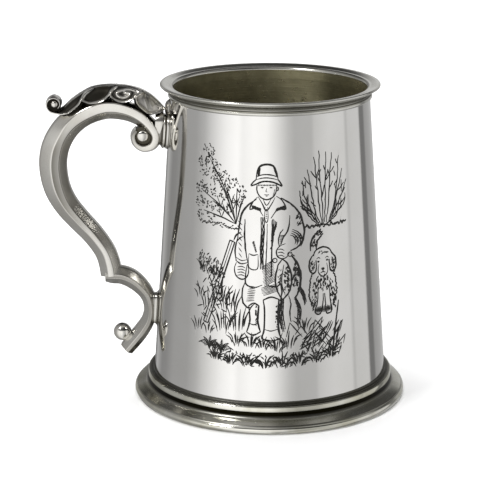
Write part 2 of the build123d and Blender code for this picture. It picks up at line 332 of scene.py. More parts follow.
def foot_profile():
    """Foot: narrow hollow, ovolo, step, spreading flange with a rounded edge, hollow underneath."""
    edge = DRUM_BOTTOM_RADIUS
    points = [(edge - WALL, DRUM_BOTTOM), (edge + 0.1, DRUM_BOTTOM)]
    points += arc((edge + 1.0, DRUM_BOTTOM - 0.1), 0.75, 170, 262, 8)
    points += [(edge + 1.0, DRUM_BOTTOM - 1.12), (edge + 1.9, DRUM_BOTTOM - 1.2)]
    points += arc((edge + 1.95, DRUM_BOTTOM - 1.8), 0.6, 85, 22, 6)
    points += [(edge + 2.62, DRUM_BOTTOM - 2.1), (edge + 2.66, DRUM_BOTTOM - 2.6),
               (edge + 2.62, DRUM_BOTTOM - 3.1), (edge + 2.42, DRUM_BOTTOM - 3.3),
               (edge + 2.5, DRUM_BOTTOM - 4.0), (edge + 2.7, DRUM_BOTTOM - 4.6)]
    points += [tuple(point) for point in curve_through(
        [(edge + 2.9, DRUM_BOTTOM - 5.1), (edge + 3.6, DRUM_BOTTOM - 5.75), (edge + 5.2, DRUM_BOTTOM - 6.4),
         (FOOT_RADIUS - 1.0, 3.2)], 6)]
    points += [(FOOT_RADIUS - 0.85, 2.95)]
    points += arc((FOOT_RADIUS - 1.15, 1.7), 1.15, 60, -40, 10)
    points += [(FOOT_RADIUS - 0.6, 0.2), (FOOT_RADIUS - 0.9, 0.0), (FOOT_RADIUS - 4.0, 0.0)]
    points += [(FOOT_RADIUS - 4.3, 0.3), (edge + 1.1, 3.2), (edge + 1.0, 6.0), (edge - WALL - 1.0, 6.4),
               (edge - WALL - 1.0, FLOOR_LOW.z), (edge - WALL, FLOOR_LOW.z)]
    return points


# Patina, painted shade and painted dark reflection on the foot, by height: a line over the rounded edge, a
# broad band up the spreading flange and another on the mouldings higher up
FOOT_TONES = ((0.0, 0.0), (2.85, 0.0), (2.98, 0.85), (3.15, 0.5), (3.3, 0.12), (4.2, 0.26), (4.8, 0.58),
              (5.3, 1.0), (6.95, 1.0), (7.12, 0.2), (7.2, 0.0), (8.85, 0.0), (8.98, 0.5), (9.1, 0.92),
              (10.2, 0.85))
foot = lathe("foot", foot_profile(), [foot_metal], FOOT_TONES)
finish_piece(foot, "foot_ring")


def floor_profile():
    """Floor: a plate with faint turned rings on its upper side."""
    radius = FLOOR_HIGH.x
    points = [(0.0, FLOOR_LOW.z)] + [(radius * share, FLOOR_LOW.z) for share in (0.3, 0.7, 1.0)]
    rings = 24
    for ring in range(rings + 1):
        share = 1 - ring / rings
        lift = 0.05 * (ring % 2)
        points.append((radius * share, FLOOR_HIGH.z - 0.06 + lift))
    return points


floor_piece = lathe("cup_floor", floor_profile(), [floor_metal])
finish_piece(floor_piece, "floor_plate")

# ---------------------------------------------------------------- the engraved picture

# The picture is drawn flat, in millimetres: across from the middle of the picture, and up from the
# table. Every stroke is a list of (across, up, width) points. The scene is a plain countryman of no
# one in particular with a shotgun and a brace of birds, his dog, two trees and rough grass.


BOLDNESS = 1.30                  # all cuts are this much wider than drawn
HEAD_TURNS = [2 * math.pi * turn / 8 for turn in range(9)]
FOLD_TURNS = (-0.5, -0.1, 0.35, 0.8, 1.25)   # bearings, in radians, along a sleeve's curved folds


class Picture:
    """A flat drawing made of cut strokes."""

    def __init__(self, seed):
        self.strokes = []
        self.random = random.Random(seed)

    def line(self, points, width=0.5, taper=0.45, wobble=0.0, steps=4):
        """A smooth stroke through points, thinner towards its ends."""
        path = curve_through(points, steps) if len(points) > 2 else straight(points, steps)
        last = len(path) - 1
        stroke = []
        for index, (across, up) in enumerate(path):
            share = min(index, last - index) / max(last * 0.35, 1)
            size = width * (taper + (1 - taper) * min(share, 1.0))
            size *= self.random.uniform(0.85, 1.15) * BOLDNESS
            stroke.append((across + self.random.uniform(-wobble, wobble),
                           up + self.random.uniform(-wobble, wobble), size))
        self.strokes.append(stroke)

    def dab(self, across, up, angle, length, width):
        """A short comma-shaped cut."""
        angle = math.radians(angle)
        step = np.array([math.cos(angle), math.sin(angle)]) * length / 2
        bend = np.array([-step[1], step[0]]) * self.random.uniform(-0.5, 0.5)
        middle = np.array([across, up])
        width *= BOLDNESS
        self.strokes.append([(*(middle - step), width * 0.45), (*(middle + bend), width),
                             (*(middle + step), width * 0.4)])

    def hatch(self, start, end, other_start, other_end, count, width=0.3, wobble=0.15):
        """Parallel cuts from the line start-end to the line other_start-other_end."""
        for index in range(count):
            share = (index + 0.5) / count
            near = np.array(start) + (np.array(end) - np.array(start)) * share
            far = np.array(other_start) + (np.array(other_end) - np.array(other_start)) * share
            shift = self.random.uniform(-wobble, wobble)
            near, far = near + (far - near) * abs(shift), far - (far - near) * abs(shift) * 0.5
            self.line([near, far], width, 0.5, 0.03, 3)

    def cluster(self, across, up, wide, tall, count, size=0.85, width=0.42, angle=None):
        """Dabs scattered over an ellipse, as leaves or fur."""
        for _ in range(count):
            turn = self.random.uniform(0, 2 * math.pi)
            reach = math.sqrt(self.random.random())
            slope = self.random.uniform(0, 180) if angle is None else self.random.gauss(angle, 18)
            self.dab(across + wide * reach * math.cos(turn), up + tall * reach * math.sin(turn), slope,
                     size * self.random.uniform(0.7, 1.3), width * self.random.uniform(0.75, 1.25))

    def tuft(self, across, up, tall, count, spread, width=0.4):
        """Grass blades fanning up from one root."""
        for index in range(count):
            lean = spread * (2 * (index + 0.5) / count - 1) + self.random.uniform(-6, 6)
            high = tall * self.random.uniform(0.6, 1.1) * (1 - abs(lean) / 160)
            slope = math.radians(lean)
            root = across + tall * 0.32 * (2 * (index + 0.5) / count - 1) + self.random.uniform(-0.3, 0.3)
            low = up + self.random.uniform(-0.2, 0.16) * tall
            tip = (root + high * math.sin(slope), low + high * math.cos(slope))
            middle = (root + high * 0.5 * math.sin(slope * 0.6), low + high * 0.52)
            self.line([(root, low), middle, tip], width, 0.35, 0.02, 3)

    def frond(self, across, up, lean, length):
        """A fern frond: an arched rib with pairs of short leaflets; lean is measured from upright."""
        slope = math.radians(lean)
        tip = (across + length * math.sin(slope), up + length * math.cos(slope) - abs(lean) / 90)
        rise = (across + length * 0.5 * math.sin(slope * 0.6), up + length * 0.58)
        self.line([(across, up), rise, tip], 0.36, 0.5, 0.0, 4)
        for leaf in range(2, 8):
            share = leaf / 8
            middle = np.array([across, up]) * (1 - share) ** 2 + np.array(rise) * 2 * share * (1 - share)
            middle = middle + np.array(tip) * share ** 2
            for side in (-1, 1):
                turn = slope * (0.6 + 0.4 * share) + side * 0.9
                reach = length * 0.26 * (1.15 - share)
                self.line([middle, (middle[0] + reach * math.sin(turn), middle[1] + reach * math.cos(turn))],
                          0.3, 0.5, 0.0, 2)

    def branch(self, across, up, angle, length, width, forks):
        """A bare branch that forks; angle is measured from upright."""
        turn = math.radians(angle)
        knee = (across + length * 0.5 * math.sin(turn * 1.12), up + length * 0.5 * math.cos(turn * 1.12))
        tip = (across + length * math.sin(turn), up + length * math.cos(turn))
        self.line([(across, up), knee, tip], width, 0.75, 0.05, 3)
        if forks == 0:
            return
        for side in (-1, 1):
            start = self.random.uniform(0.45, 0.9)
            place = (across + (tip[0] - across) * start, up + (tip[1] - up) * start)
            self.branch(*place, angle + side * self.random.uniform(14, 30),
                        length * self.random.uniform(0.42, 0.62), width * 0.88, forks - 1)


def straight(points, steps):
    """Evenly spaced points on a straight line."""
    start, end = np.array(points[0], dtype=float), np.array(points[1], dtype=float)
    return [start + (end - start) * step / steps for step in range(steps + 1)]


def draw_leafy_tree(art):
    """Tree on the left: branches fan from its foot, with leaves in loose clusters."""
    foot = (-12.6, 76.8)
    tips = [(-25.4, 101.5), (-22.5, 95.5), (-17.5, 91.0), (-12.5, 90.0), (-9.4, 87.5),
            (-27.5, 88.0), (-22.5, 84.5), (-26.5, 80.5), (-16.5, 84.5)]
    for tip in tips:
        middle = (foot[0] + (tip[0] - foot[0]) * 0.42, foot[1] + (tip[1] - foot[1]) * 0.55)
        art.line([foot, middle, tip], 0.42, 0.5, 0.05, 4)
        art.line([middle, (middle[0] - 1.6, middle[1] + 3.0)], 0.32, 0.4, 0.03, 2)
        art.line([middle, (middle[0] + 1.2, middle[1] + 3.2)], 0.32, 0.4, 0.03, 2)
    crown = [(-24.9, 103.0, 2.3, 2.2), (-27.4, 98.4, 2.0, 2.4), (-23.6, 98.9, 2.4, 2.6),
             (-20.9, 96.0, 2.2, 2.2), (-26.9, 94.4, 1.9, 1.3), (-17.9, 94.0, 2.4, 1.7),
             (-14.4, 91.8, 2.3, 1.8), (-10.3, 88.9, 1.9, 2.1), (-21.9, 92.2, 2.2, 1.4),
             (-17.6, 90.0, 2.2, 1.4)]
    skirts = [(-28.3, 88.9, 2.0, 2.2), (-24.9, 88.7, 2.0, 1.6), (-21.4, 87.6, 2.1, 1.5),
              (-17.2, 86.5, 2.1, 1.4), (-28.7, 83.9, 1.6, 2.0), (-25.1, 83.0, 2.1, 1.8),
              (-21.0, 82.2, 2.1, 1.6), (-16.4, 82.0, 1.8, 1.5), (-12.2, 85.0, 1.8, 1.5),
              (-27.8, 79.0, 1.8, 1.4), (-23.6, 78.6, 2.1, 1.2)]
    for across, up, wide, tall in crown + skirts:
        art.cluster(across, up, wide * 1.15, tall * 1.15, round(wide * tall * 5.0), 0.85, 0.40)
    for step in range(44):
        across = -28.0 + step * 0.38
        art.dab(across, 76.6 - step * 0.028 + art.random.uniform(-0.7, 0.7), art.random.uniform(-30, 60),
                0.9, 0.4)


def draw_bare_tree(art):
    """Tree on the right: bare limbs that spread and then rise, over a line of rough ground."""
    tips = [(14.6, 82.6), (11.6, 85.6), (11.2, 89.2), (12.4, 93.0), (14.6, 97.0), (17.2, 101.2),
            (19.4, 103.2), (22.4, 102.6), (25.2, 102.0), (28.4, 100.4), (30.2, 95.6), (32.0, 91.4),
            (31.2, 86.2), (30.2, 82.4)]
    for tip in tips:
        root = (20.8 + (tip[0] - 20.8) * 0.26 + art.random.uniform(-0.3, 0.3), 76.6)
        low = (root[0] + (tip[0] - root[0]) * art.random.uniform(0.2, 0.5),
               root[1] + (tip[1] - root[1]) * 0.26)
        high = (root[0] + (tip[0] - root[0]) * art.random.uniform(0.65, 0.95),
                root[1] + (tip[1] - root[1]) * 0.66)
        art.line([root, low, high, tip], 0.40, 0.7, 0.2, 5)
        lean = math.degrees(math.atan2(tip[0] - root[0], tip[1] - root[1]))
        for side in (-1, 1, -1, 1):
            if art.random.random() < 0.3:
                continue
            share = art.random.uniform(0.3, 0.92)
            place = (root[0] + (tip[0] - root[0]) * share * 0.98, root[1] + (tip[1] - root[1]) * share)
            art.branch(*place, lean * 0.8 + side * art.random.uniform(14, 40), art.random.uniform(1.6, 5.0),
                       0.36, 0)
    for step in range(60):
        art.dab(13.4 + step * 0.30, 75.8 + 0.3 * math.sin(step * 0.9) + art.random.uniform(-0.45, 0.45),
                art.random.uniform(-10, 80), 0.9, 0.55)


def draw_head(art):
    """Hat with a soft brim over a calm, plain face."""
    art.line([(-5.2, 93.5), (-4.8, 96.4), (-3.7, 98.5), (-1.2, 99.2), (1.3, 98.6), (2.5, 96.4), (3.1, 93.7)],
             0.6)
    art.line([(-5.2, 94.5), (-3.2, 95.3), (-1.1, 95.5), (1.2, 95.2), (3.0, 94.5)], 0.4)
    art.line([(-5.2, 93.5), (-3.2, 94.1), (-1.1, 94.3), (1.2, 94.0), (3.1, 93.5)], 0.35)
    art.line([(-5.2, 93.6), (-6.3, 92.6), (-7.1, 91.3), (-5.2, 91.9), (-3.1, 92.8), (-1.1, 93.0),
              (1.2, 92.7), (3.2, 91.9), (4.6, 91.2), (3.9, 92.6), (3.1, 93.6)], 0.5, 0.8)
    art.hatch((1.1, 98.4), (2.3, 94.9), (2.1, 97.6), (2.9, 94.9), 9, 0.4)
    art.hatch((-4.5, 97.6), (-4.9, 94.9), (-3.4, 98.0), (-3.7, 95.3), 8, 0.32)
    art.hatch((-4.6, 91.9), (2.9, 91.9), (-4.4, 91.2), (2.7, 91.3), 13, 0.34, 0.1)
    face = [(-4.8, 91.6), (-4.9, 90.0), (-4.4, 88.4), (-3.2, 87.0), (-1.2, 86.3), (0.8, 87.0), (2.0, 88.4),
            (2.5, 90.0), (2.6, 91.4)]
    art.line(face, 0.42, 0.8)
    for eye in (-2.85, 0.45):
        art.line([(eye - 0.6, 90.6), (eye, 90.85), (eye + 0.6, 90.6)], 0.26)
        art.dab(eye, 90.55, 0, 0.4, 0.3)
    art.line([(-1.15, 90.5), (-1.45, 89.3), (-0.85, 89.15)], 0.24)
    art.line([(-2.15, 88.15), (-1.2, 88.0), (-0.25, 88.15)], 0.28)
    art.line([(-1.6, 87.55), (-0.8, 87.55)], 0.2)
    art.line([(2.6, 91.0), (3.2, 90.7), (3.0, 89.7), (2.5, 89.5)], 0.34)
    art.hatch((1.6, 90.2), (1.0, 87.6), (2.2, 90.2), (1.6, 87.8), 6, 0.22)


def draw_coat(art):
    """Shooting coat: turned collar, sleeves, pockets and deep folds."""
    art.line([(-4.4, 87.4), (-2.8, 84.8), (-1.3, 82.2), (0.6, 84.6), (2.0, 87.2)], 0.4)
    art.line([(-2.6, 86.6), (-1.2, 84.2), (0.4, 86.4)], 0.32)
    art.line([(-1.7, 83.6), (-1.9, 79.6), (-1.2, 77.8), (-0.6, 79.6), (-0.8, 83.6)], 0.3)
    art.hatch((-1.6, 83.0), (-1.6, 79.2), (-0.9, 83.0), (-0.8, 79.2), 6, 0.24)
    art.line([(-4.6, 87.2), (-6.4, 85.2), (-7.4, 82.6), (-4.6, 83.2), (-2.4, 80.2)], 0.46)
    art.line([(2.4, 87.6), (4.6, 86.0), (6.0, 82.8), (2.9, 82.6), (0.4, 79.4)], 0.46)
    art.hatch((-6.7, 84.4), (-3.2, 83.2), (-6.6, 82.9), (-3.4, 81.8), 12, 0.34)
    art.hatch((2.6, 83.2), (5.6, 84.4), (2.0, 81.8), (5.8, 82.9), 12, 0.38)
    art.line([(-5.0, 86.4), (-8.0, 84.2), (-10.4, 81.0), (-11.3, 76.5), (-12.0, 71.0)], 0.6)
    art.line([(4.2, 86.8), (7.6, 84.8), (10.8, 81.6), (12.4, 77.6), (12.9, 74.0), (12.2, 70.8), (10.4, 68.6),
              (7.6, 67.2)], 0.66, 0.6, 0.1)
    art.line([(7.4, 80.4), (7.2, 77.0), (6.4, 74.4), (4.8, 72.0), (4.2, 69.8)], 0.46, 0.5, 0.08)
    for reach in (3.0, 3.9, 4.8, 5.6):
        fold = [(6.6 + reach * math.cos(turn), 70.8 + reach * 0.82 * math.sin(turn)) for turn in FOLD_TURNS]
        art.line(fold, 0.42, 0.4, 0.06)
    art.cluster(11.0, 78.4, 0.9, 2.6, 16, 1.2, 0.40, 62)
    art.cluster(10.6, 71.6, 1.5, 1.6, 14, 1.0, 0.36, 30)
    art.line([(-12.0, 71.5), (-12.8, 67.0), (-12.2, 62.9)], 0.5)
    art.line([(-9.2, 78.8), (-9.3, 73.5), (-8.9, 68.0), (-8.0, 62.9)], 0.5, 0.5, 0.08)
    art.line([(-12.6, 63.4), (-10.4, 62.2), (-7.9, 62.8)], 0.42)
    art.line([(-12.5, 64.6), (-10.3, 63.4), (-8.1, 63.9)], 0.3)
    for depth in range(7):
        art.line([(-12.0 + 0.1 * depth, 78.2 - 2.0 * depth), (-10.2, 76.6 - 2.0 * depth)], 0.3, 0.4, 0.05, 2)
    for shift in (0.0, 0.5, 1.0):
        art.line([(-3.2 + shift, 79.8), (-3.0 + shift, 74.0), (-3.4 + shift, 67.0), (-3.2 + shift, 60.5)],
                 0.4, 0.7, 0.16, 5)
    for shift, low in ((0.0, 57.5), (0.45, 68.0), (0.9, 71.0), (1.35, 73.0)):
        art.line([(1.2 + shift, 79.4 - shift), (0.9 + shift, 76.0), (0.7 + shift * 0.7, low + 2.0),
                  (0.1 + shift * 0.4, low)], 0.42, 0.6, 0.12, 5)
    art.line([(-0.9, 77.5), (-1.0, 70.0), (-1.4, 62.0), (-1.2, 55.0)], 0.34, 0.6, 0.08, 5)
    art.hatch((-6.6, 70.6), (-5.2, 66.4), (-5.6, 71.0), (-4.6, 67.0), 8, 0.4)
    art.line([(-7.6, 66.2), (-6.0, 65.6), (-4.2, 66.0)], 0.4)
    art.line([(-7.6, 66.0), (-7.5, 61.0), (-4.4, 60.6), (-4.2, 65.8)], 0.34)
    art.line([(-8.2, 62.0), (-8.7, 57.8), (-8.4, 54.6), (-5.4, 53.6), (-2.6, 54.6)], 0.46)
    art.line([(-1.2, 54.8), (1.0, 54.0), (3.4, 54.6), (4.0, 58.5)], 0.46)
    art.hatch((-3.0, 61.4), (-2.2, 53.4), (1.4, 64.4), (2.4, 56.4), 15, 0.24, 0.08)
    art.line([(5.0, 75.4), (3.8, 73.6), (3.2, 71.0), (3.6, 68.8)], 0.4, 0.5, 0.08)
    art.hatch((3.5, 73.4), (3.6, 69.4), (5.6, 73.2), (4.4, 69.8), 8, 0.24)


def draw_hands_and_gun(art):
    """A broken shotgun carried barrels down, and both hands."""
    art.line([(-12.2, 62.6), (-12.9, 60.2), (-12.2, 57.6), (-10.2, 56.4), (-8.4, 57.2), (-7.6, 59.4),
              (-8.0, 62.4)], 0.44)
    for finger in range(4):
        art.line([(-11.8, 60.9 - finger * 1.05), (-10.2, 61.2 - finger * 1.05),
                  (-8.8, 60.7 - finger * 1.05)], 0.3)
    for shift, width in ((-0.95, 0.42), (0.0, 0.26), (0.95, 0.46)):
        art.line([(-13.9 + shift, 70.4 - shift * 0.3), (-23.8 + shift, 38.6 - shift * 0.3)],
                 width, 0.9, 0.0, 12)
    art.line([(-15.1, 70.7), (-13.0, 70.0)], 0.42)
    art.line([(-25.0, 38.9), (-22.8, 38.2)], 0.42)
    art.line([(-13.4, 70.6), (-12.4, 72.8), (-10.6, 74.0)], 0.5)
    art.line([(-12.6, 69.6), (-11.2, 71.6), (-9.8, 72.4)], 0.4)
    art.line([(5.8, 70.0), (3.8, 69.2), (2.5, 67.4), (2.8, 65.4), (4.4, 64.4), (6.2, 65.0), (7.4, 67.0)],
             0.42)
    for finger in range(3):
        art.line([(2.9, 67.8 - finger * 1.15), (4.2, 68.0 - finger * 1.15), (5.4, 67.4 - finger * 1.15)],
                 0.3)


def draw_legs(art):
    """Breeches under the open coat, and tall boots standing in the grass."""
    art.line([(-8.6, 56.0), (-9.8, 52.0), (-9.4, 47.6), (-7.2, 45.8), (-5.4, 47.4)], 0.5, 0.6, 0.1)
    art.line([(3.6, 56.0), (4.4, 52.4), (3.8, 48.6)], 0.5, 0.6, 0.08)
    art.hatch((-7.6, 54.4), (-8.6, 48.0), (-4.8, 54.0), (-5.4, 48.4), 9, 0.28)
    art.hatch((-3.2, 53.6), (-2.6, 50.2), (2.8, 55.4), (3.6, 52.4), 7, 0.24, 0.08)
    for near, far, top, foot in ((-7.4, -3.8, 47.2, 36.6), (-2.2, 3.4, 49.6, 34.4)):
        art.line([(near, top - 0.6), ((near + far) / 2, top + 0.5), (far, top - 0.4)], 0.5, 0.8)
        art.line([(near, top - 0.6), (near + 0.5, top - 5.0), (near + 0.3, foot + 3.4), (near - 0.6, foot)],
                 0.52, 0.7, 0.05)
        art.line([(far, top - 0.4), (far - 0.3, top - 5.0), (far - 0.2, foot + 3.6),
                  (far + 0.6, foot + 0.2)], 0.62, 0.7, 0.05)
        art.line([(near - 0.6, foot), ((near + far) / 2, foot - 0.9), (far + 0.6, foot + 0.2)],
                 0.5, 0.7, 0.1)
        art.cluster(far - 0.9, (top + foot) / 2 + 1.0, 0.4, (top - foot) * 0.34, 16, 0.9, 0.3, 78)
        art.line([(near + 0.6, foot + 3.4), ((near + far) / 2, foot + 2.9), (far - 0.4, foot + 3.6)],
                 0.34, 0.5, 0.06)


# The birds' tails: root, bend, tip and number of feathers
TAILS = [((4.7, 49.4), (3.9, 44.0), (4.9, 36.2), 4),
         ((9.2, 49.8), (10.7, 45.0), (10.2, 38.4), 3)]


def draw_birds(art):
    """A brace of game birds held by the necks: plump feathered bodies, folded wings and long tails."""
    art.line([(4.6, 64.4), (3.0, 61.8), (2.2, 58.2), (2.2, 54.8), (3.2, 51.4), (4.6, 49.2)], 0.5, 0.7, 0.08)
    art.line([(4.6, 64.4), (6.4, 62.6), (7.7, 59.2), (7.9, 55.4), (6.9, 51.8), (4.8, 49.2)], 0.56, 0.7, 0.08)
    art.line([(5.2, 62.2), (4.3, 57.4), (4.7, 53.6), (5.6, 50.8)], 0.36, 0.5, 0.1)
    art.line([(8.0, 65.4), (9.8, 63.0), (11.1, 59.4), (11.3, 55.6), (10.5, 52.0), (9.2, 49.4)],
             0.72, 0.7, 0.12)
    art.cluster(6.3, 56.6, 1.2, 4.8, 44, 1.0, 0.4, 112)
    art.cluster(3.6, 57.4, 0.8, 4.0, 12, 0.8, 0.3, 74)
    art.cluster(9.7, 57.4, 1.3, 5.6, 60, 1.0, 0.44, 66)
    for across, up, side in ((7.4, 66.0, 1), (1.9, 63.8, -1)):
        head = [(across + 0.8 * math.cos(turn), up + 0.8 * math.sin(turn)) for turn in HEAD_TURNS]
        art.line(head, 0.34, 0.8)
        art.dab(across + side * 0.2, up + 0.15, 0, 0.3, 0.3)
        art.line([(across + side * 0.8, up - 0.1), (across + side * 1.9, up - 0.9)], 0.34, 0.4)
    for root, bend, tip, count in TAILS:
        for feather in range(count):
            aside = 0.55 * (feather - (count - 1) / 2)
            art.line([(root[0] + aside * 0.5, root[1]), (bend[0] + aside, bend[1]),
                      (tip[0] + aside * 0.8, tip[1] + abs(aside) * 2.0)], 0.4, 0.5, 0.06, 5)
        for bar in range(7):
            share = (bar + 0.7) / 8
            middle = root[0] + (bend[0] - root[0]) * min(share * 2, 1)
            middle += (tip[0] - bend[0]) * max(share * 2 - 1, 0)
            drop = root[1] + (tip[1] - root[1]) * share
            art.line([(middle - 0.8, drop + 0.3), (middle + 0.8, drop - 0.3)], 0.28, 0.5, 0.05, 2)
    for shift in (0.0, 0.6, 1.2):
        art.line([(10.4 + shift * 0.3, 53.0 + shift), (12.0 + shift * 0.4, 50.0 + shift),
                  (12.7 + shift * 0.5, 46.4 + shift)], 0.46, 0.5, 0.08)
    art.line([(6.8, 50.6), (7.6, 47.4), (7.2, 43.6), (7.7, 40.4)], 0.42, 0.5, 0.1)


def draw_dog(art):
    """A long-coated gundog sitting square to the front, tail up."""
    art.line([(16.2, 64.6), (17.0, 66.2), (18.4, 67.2), (20.1, 67.6), (21.8, 67.2), (23.3, 66.2),
              (24.2, 64.6)], 0.5, 0.7, 0.06)
    art.line([(16.4, 65.2), (15.0, 63.4), (14.6, 60.2), (15.8, 58.0), (17.2, 59.2), (17.4, 62.8)],
             0.5, 0.7, 0.1)
    art.line([(23.8, 65.2), (25.3, 63.4), (25.7, 60.2), (24.5, 58.0), (23.0, 59.2), (22.8, 62.8)],
             0.6, 0.7, 0.1)
    art.cluster(16.0, 60.8, 0.9, 2.2, 17, 0.9, 0.36, 82)
    art.cluster(24.3, 60.8, 0.9, 2.2, 20, 0.9, 0.4, 98)
    art.cluster(20.0, 65.6, 2.6, 0.7, 12, 0.8, 0.32, 20)
    art.line([(18.5, 61.4), (18.1, 58.8), (18.9, 57.2), (20.1, 56.6), (21.4, 57.2), (22.1, 58.8),
              (21.7, 61.4)], 0.4)
    for eye in (18.3, 21.9):
        art.dab(eye, 62.4, 0, 0.9, 0.7)
        art.line([(eye - 0.8, 63.3), (eye, 63.8), (eye + 0.8, 63.3)], 0.3)
    art.dab(20.1, 59.6, 0, 1.3, 1.0)
    art.line([(20.1, 59.1), (20.1, 58.2)], 0.34)
    art.line([(19.0, 57.9), (20.1, 58.3), (21.2, 57.9)], 0.34)
    for step in range(17):
        drop = 58.0 - step * 0.84
        swell = 1.1 * math.sin(math.pi * min(step / 15, 1))
        art.dab(15.6 - swell + art.random.uniform(-0.2, 0.2), drop, art.random.uniform(62, 98), 1.3, 0.52)
        art.dab(24.6 + swell + art.random.uniform(-0.2, 0.2), drop, art.random.uniform(82, 118), 1.3, 0.56)
    art.line([(18.0, 52.6), (17.6, 47.4), (16.6, 43.4), (18.6, 42.6), (19.7, 46.2), (20.0, 50.2)],
             0.46, 0.6, 0.1)
    art.line([(20.5, 50.2), (20.8, 46.2), (21.2, 42.6), (23.4, 43.2), (22.8, 47.6), (22.4, 52.6)],
             0.46, 0.6, 0.1)
    art.cluster(20.1, 54.2, 3.4, 3.0, 66, 1.1, 0.38, 86)
    art.cluster(16.6, 49.6, 1.1, 5.0, 32, 1.1, 0.36, 80)
    art.cluster(23.9, 49.6, 1.1, 5.0, 36, 1.1, 0.42, 98)
    art.hatch((16.8, 45.6), (23.6, 45.6), (16.6, 42.8), (23.8, 43.0), 15, 0.36)
    art.line([(15.2, 66.4), (15.6, 69.8), (17.2, 72.6), (19.6, 74.4)], 0.62, 0.6, 0.2)
    art.line([(17.6, 67.2), (18.0, 69.8), (19.2, 71.6), (20.6, 72.6)], 0.56, 0.6, 0.2)
    art.cluster(16.8, 69.8, 1.2, 2.2, 18, 1.1, 0.44, 60)
    art.cluster(18.8, 73.0, 1.2, 1.0, 12, 1.1, 0.5, 45)


# Bushes as (across, up, half width, half height, leaves), tufts as (across, up, height, blades,
# spread in degrees), and the front row of tufts as (across, size)
BUSHES = [(-25.4, 62.6, 2.6, 3.2, 30), (-20.8, 60.8, 2.6, 2.4, 26), (-23.2, 58.4, 4.2, 1.8, 24),
          (-17.6, 57.6, 1.6, 2.2, 12)]
TUFTS = [
    (-25.2, 57.4, 5.6, 8, 44), (-20.4, 56.4, 5.4, 8, 40), (-18.0, 47.6, 9.5, 9, 24),
    (-14.6, 45.0, 9.0, 9, 26), (-26.6, 47.8, 5.0, 4, 40), (-22.8, 44.0, 7.5, 5, 26),
    (-27.0, 35.0, 5.6, 5, 34), (-22.6, 35.0, 4.4, 6, 46), (-16.6, 36.6, 8.8, 11, 34),
    (-11.4, 38.0, 9.5, 10, 26), (-11.4, 31.8, 5.4, 10, 50), (-6.6, 31.4, 5.6, 9, 50),
    (-2.2, 30.6, 4.8, 9, 60), (2.6, 30.0, 5.8, 10, 54), (6.8, 31.4, 6.6, 9, 44),
    (12.4, 37.0, 6.4, 7, 40),
]
FRONT_TUFTS = [(-19.4, 0.9), (-13.6, 0.8), (-7.6, 1.0), (-1.6, 1.0), (4.4, 1.1), (10.6, 0.9), (16.6, 0.9),
               (22.4, 0.9)]


def draw_grass(art):
    """Bush, reeds and rough grass round the feet."""
    for across, up, wide, tall, count in BUSHES:
        art.cluster(across, up, wide, tall, count, 1.0, 0.4, 75)
    for across, up, tall, count, spread in TUFTS:
        art.tuft(across, up, tall, count, spread, 0.4)
    for _ in range(46):
        across = art.random.uniform(9.0, 26.0)
        up = art.random.uniform(27.0, 37.0 - abs(across - 17) * 0.2)
        lean = math.radians(art.random.choice((28, 34, 42, -36, 62)) + art.random.uniform(-7, 7))
        tall = art.random.uniform(3.4, 7.4)
        tip = (across + tall * math.sin(lean), up + tall * math.cos(lean))
        art.line([(across, up), tip], 0.38, 0.5, 0.03, 3)
        if art.random.random() < 0.55:
            back = (tip[0] - 1.0 - 1.4 * art.random.random(), tip[1] - tall * 0.75)
            art.line([tip, back], 0.32, 0.5, 0.03, 3)
    art.line([(23.0, 25.4), (24.4, 35.4), (26.4, 46.6)], 0.62, 0.6, 0.05, 6)
    art.line([(24.2, 27.0), (25.6, 33.4), (27.4, 38.6)], 0.5, 0.6, 0.05, 6)
    for _ in range(120):
        across = art.random.uniform(-22.0, 25.5)
        low = 24.6 + 2.4 * (across / 24) ** 2
        up = low + art.random.uniform(-0.8, 3.6)
        art.dab(across, up, art.random.uniform(15, 165), art.random.uniform(1.0, 2.2), 0.42)
    for across, size in FRONT_TUFTS:
        art.tuft(across, 23.8 + 2.0 * (across / 24) ** 2, 5.6 * size, 9, 66, 0.46)
    for across, up in ((-22.0, 28.4), (-17.4, 27.6)):
        for lean in (-62, -30, 4, 34, 64):
            art.frond(across, up, lean, 5.4)
    for _ in range(30):
        across = art.random.uniform(-28.0, -12.5)
        up = art.random.uniform(40.0, 55.0)
        lean = math.radians(art.random.uniform(20, 70) * art.random.choice((-1, 1)))
        art.line([(across, up), (across + 2.6 * math.sin(lean), up + 2.6 * math.cos(lean))],
                 0.38, 0.4, 0.05, 3)


def picture_strokes():
    """Every stroke of the picture."""
    art = Picture(seed=11)
    for draw in (draw_leafy_tree, draw_bare_tree, draw_head, draw_coat, draw_hands_and_gun, draw_legs,
                 draw_birds, draw_dog, draw_grass):
        draw(art)
    return art.strokes


# ---------------------------------------------------------------- drum

PICTURE_RADIUS = 41.0            # the picture's millimetres across are measured on this radius
PICTURE_BEARING = math.radians(-2.0)
CUT_DEPTH = 0.16                 # deepest cuts of the engraving
COLUMNS = 192                    # facets round the plain part of the wall
PANEL_COLUMNS = 28               # the engraved panel reaches this many columns to each side
PANEL_ROWS = [18.0 + 2.0 * row for row in range(47)]
WALL_ROWS = [DRUM_BOTTOM, 14.0] + PANEL_ROWS + [113.3, DRUM_TOP]
CELL = 2.0                       # size of the look-up cells for the nearest cuts
SMALLEST_TURN = 1e-3             # a stroke's piece with a flatter corner than this is squared off


def wall_point(turn, height, inset=0.0):
    """A point of the drum's outer surface, turned to the right of the picture's middle line."""
    radius = drum_radius(height) - inset
    bearing = PICTURE_BEARING + turn
    return (radius * math.sin(bearing), -radius * math.cos(bearing), height)


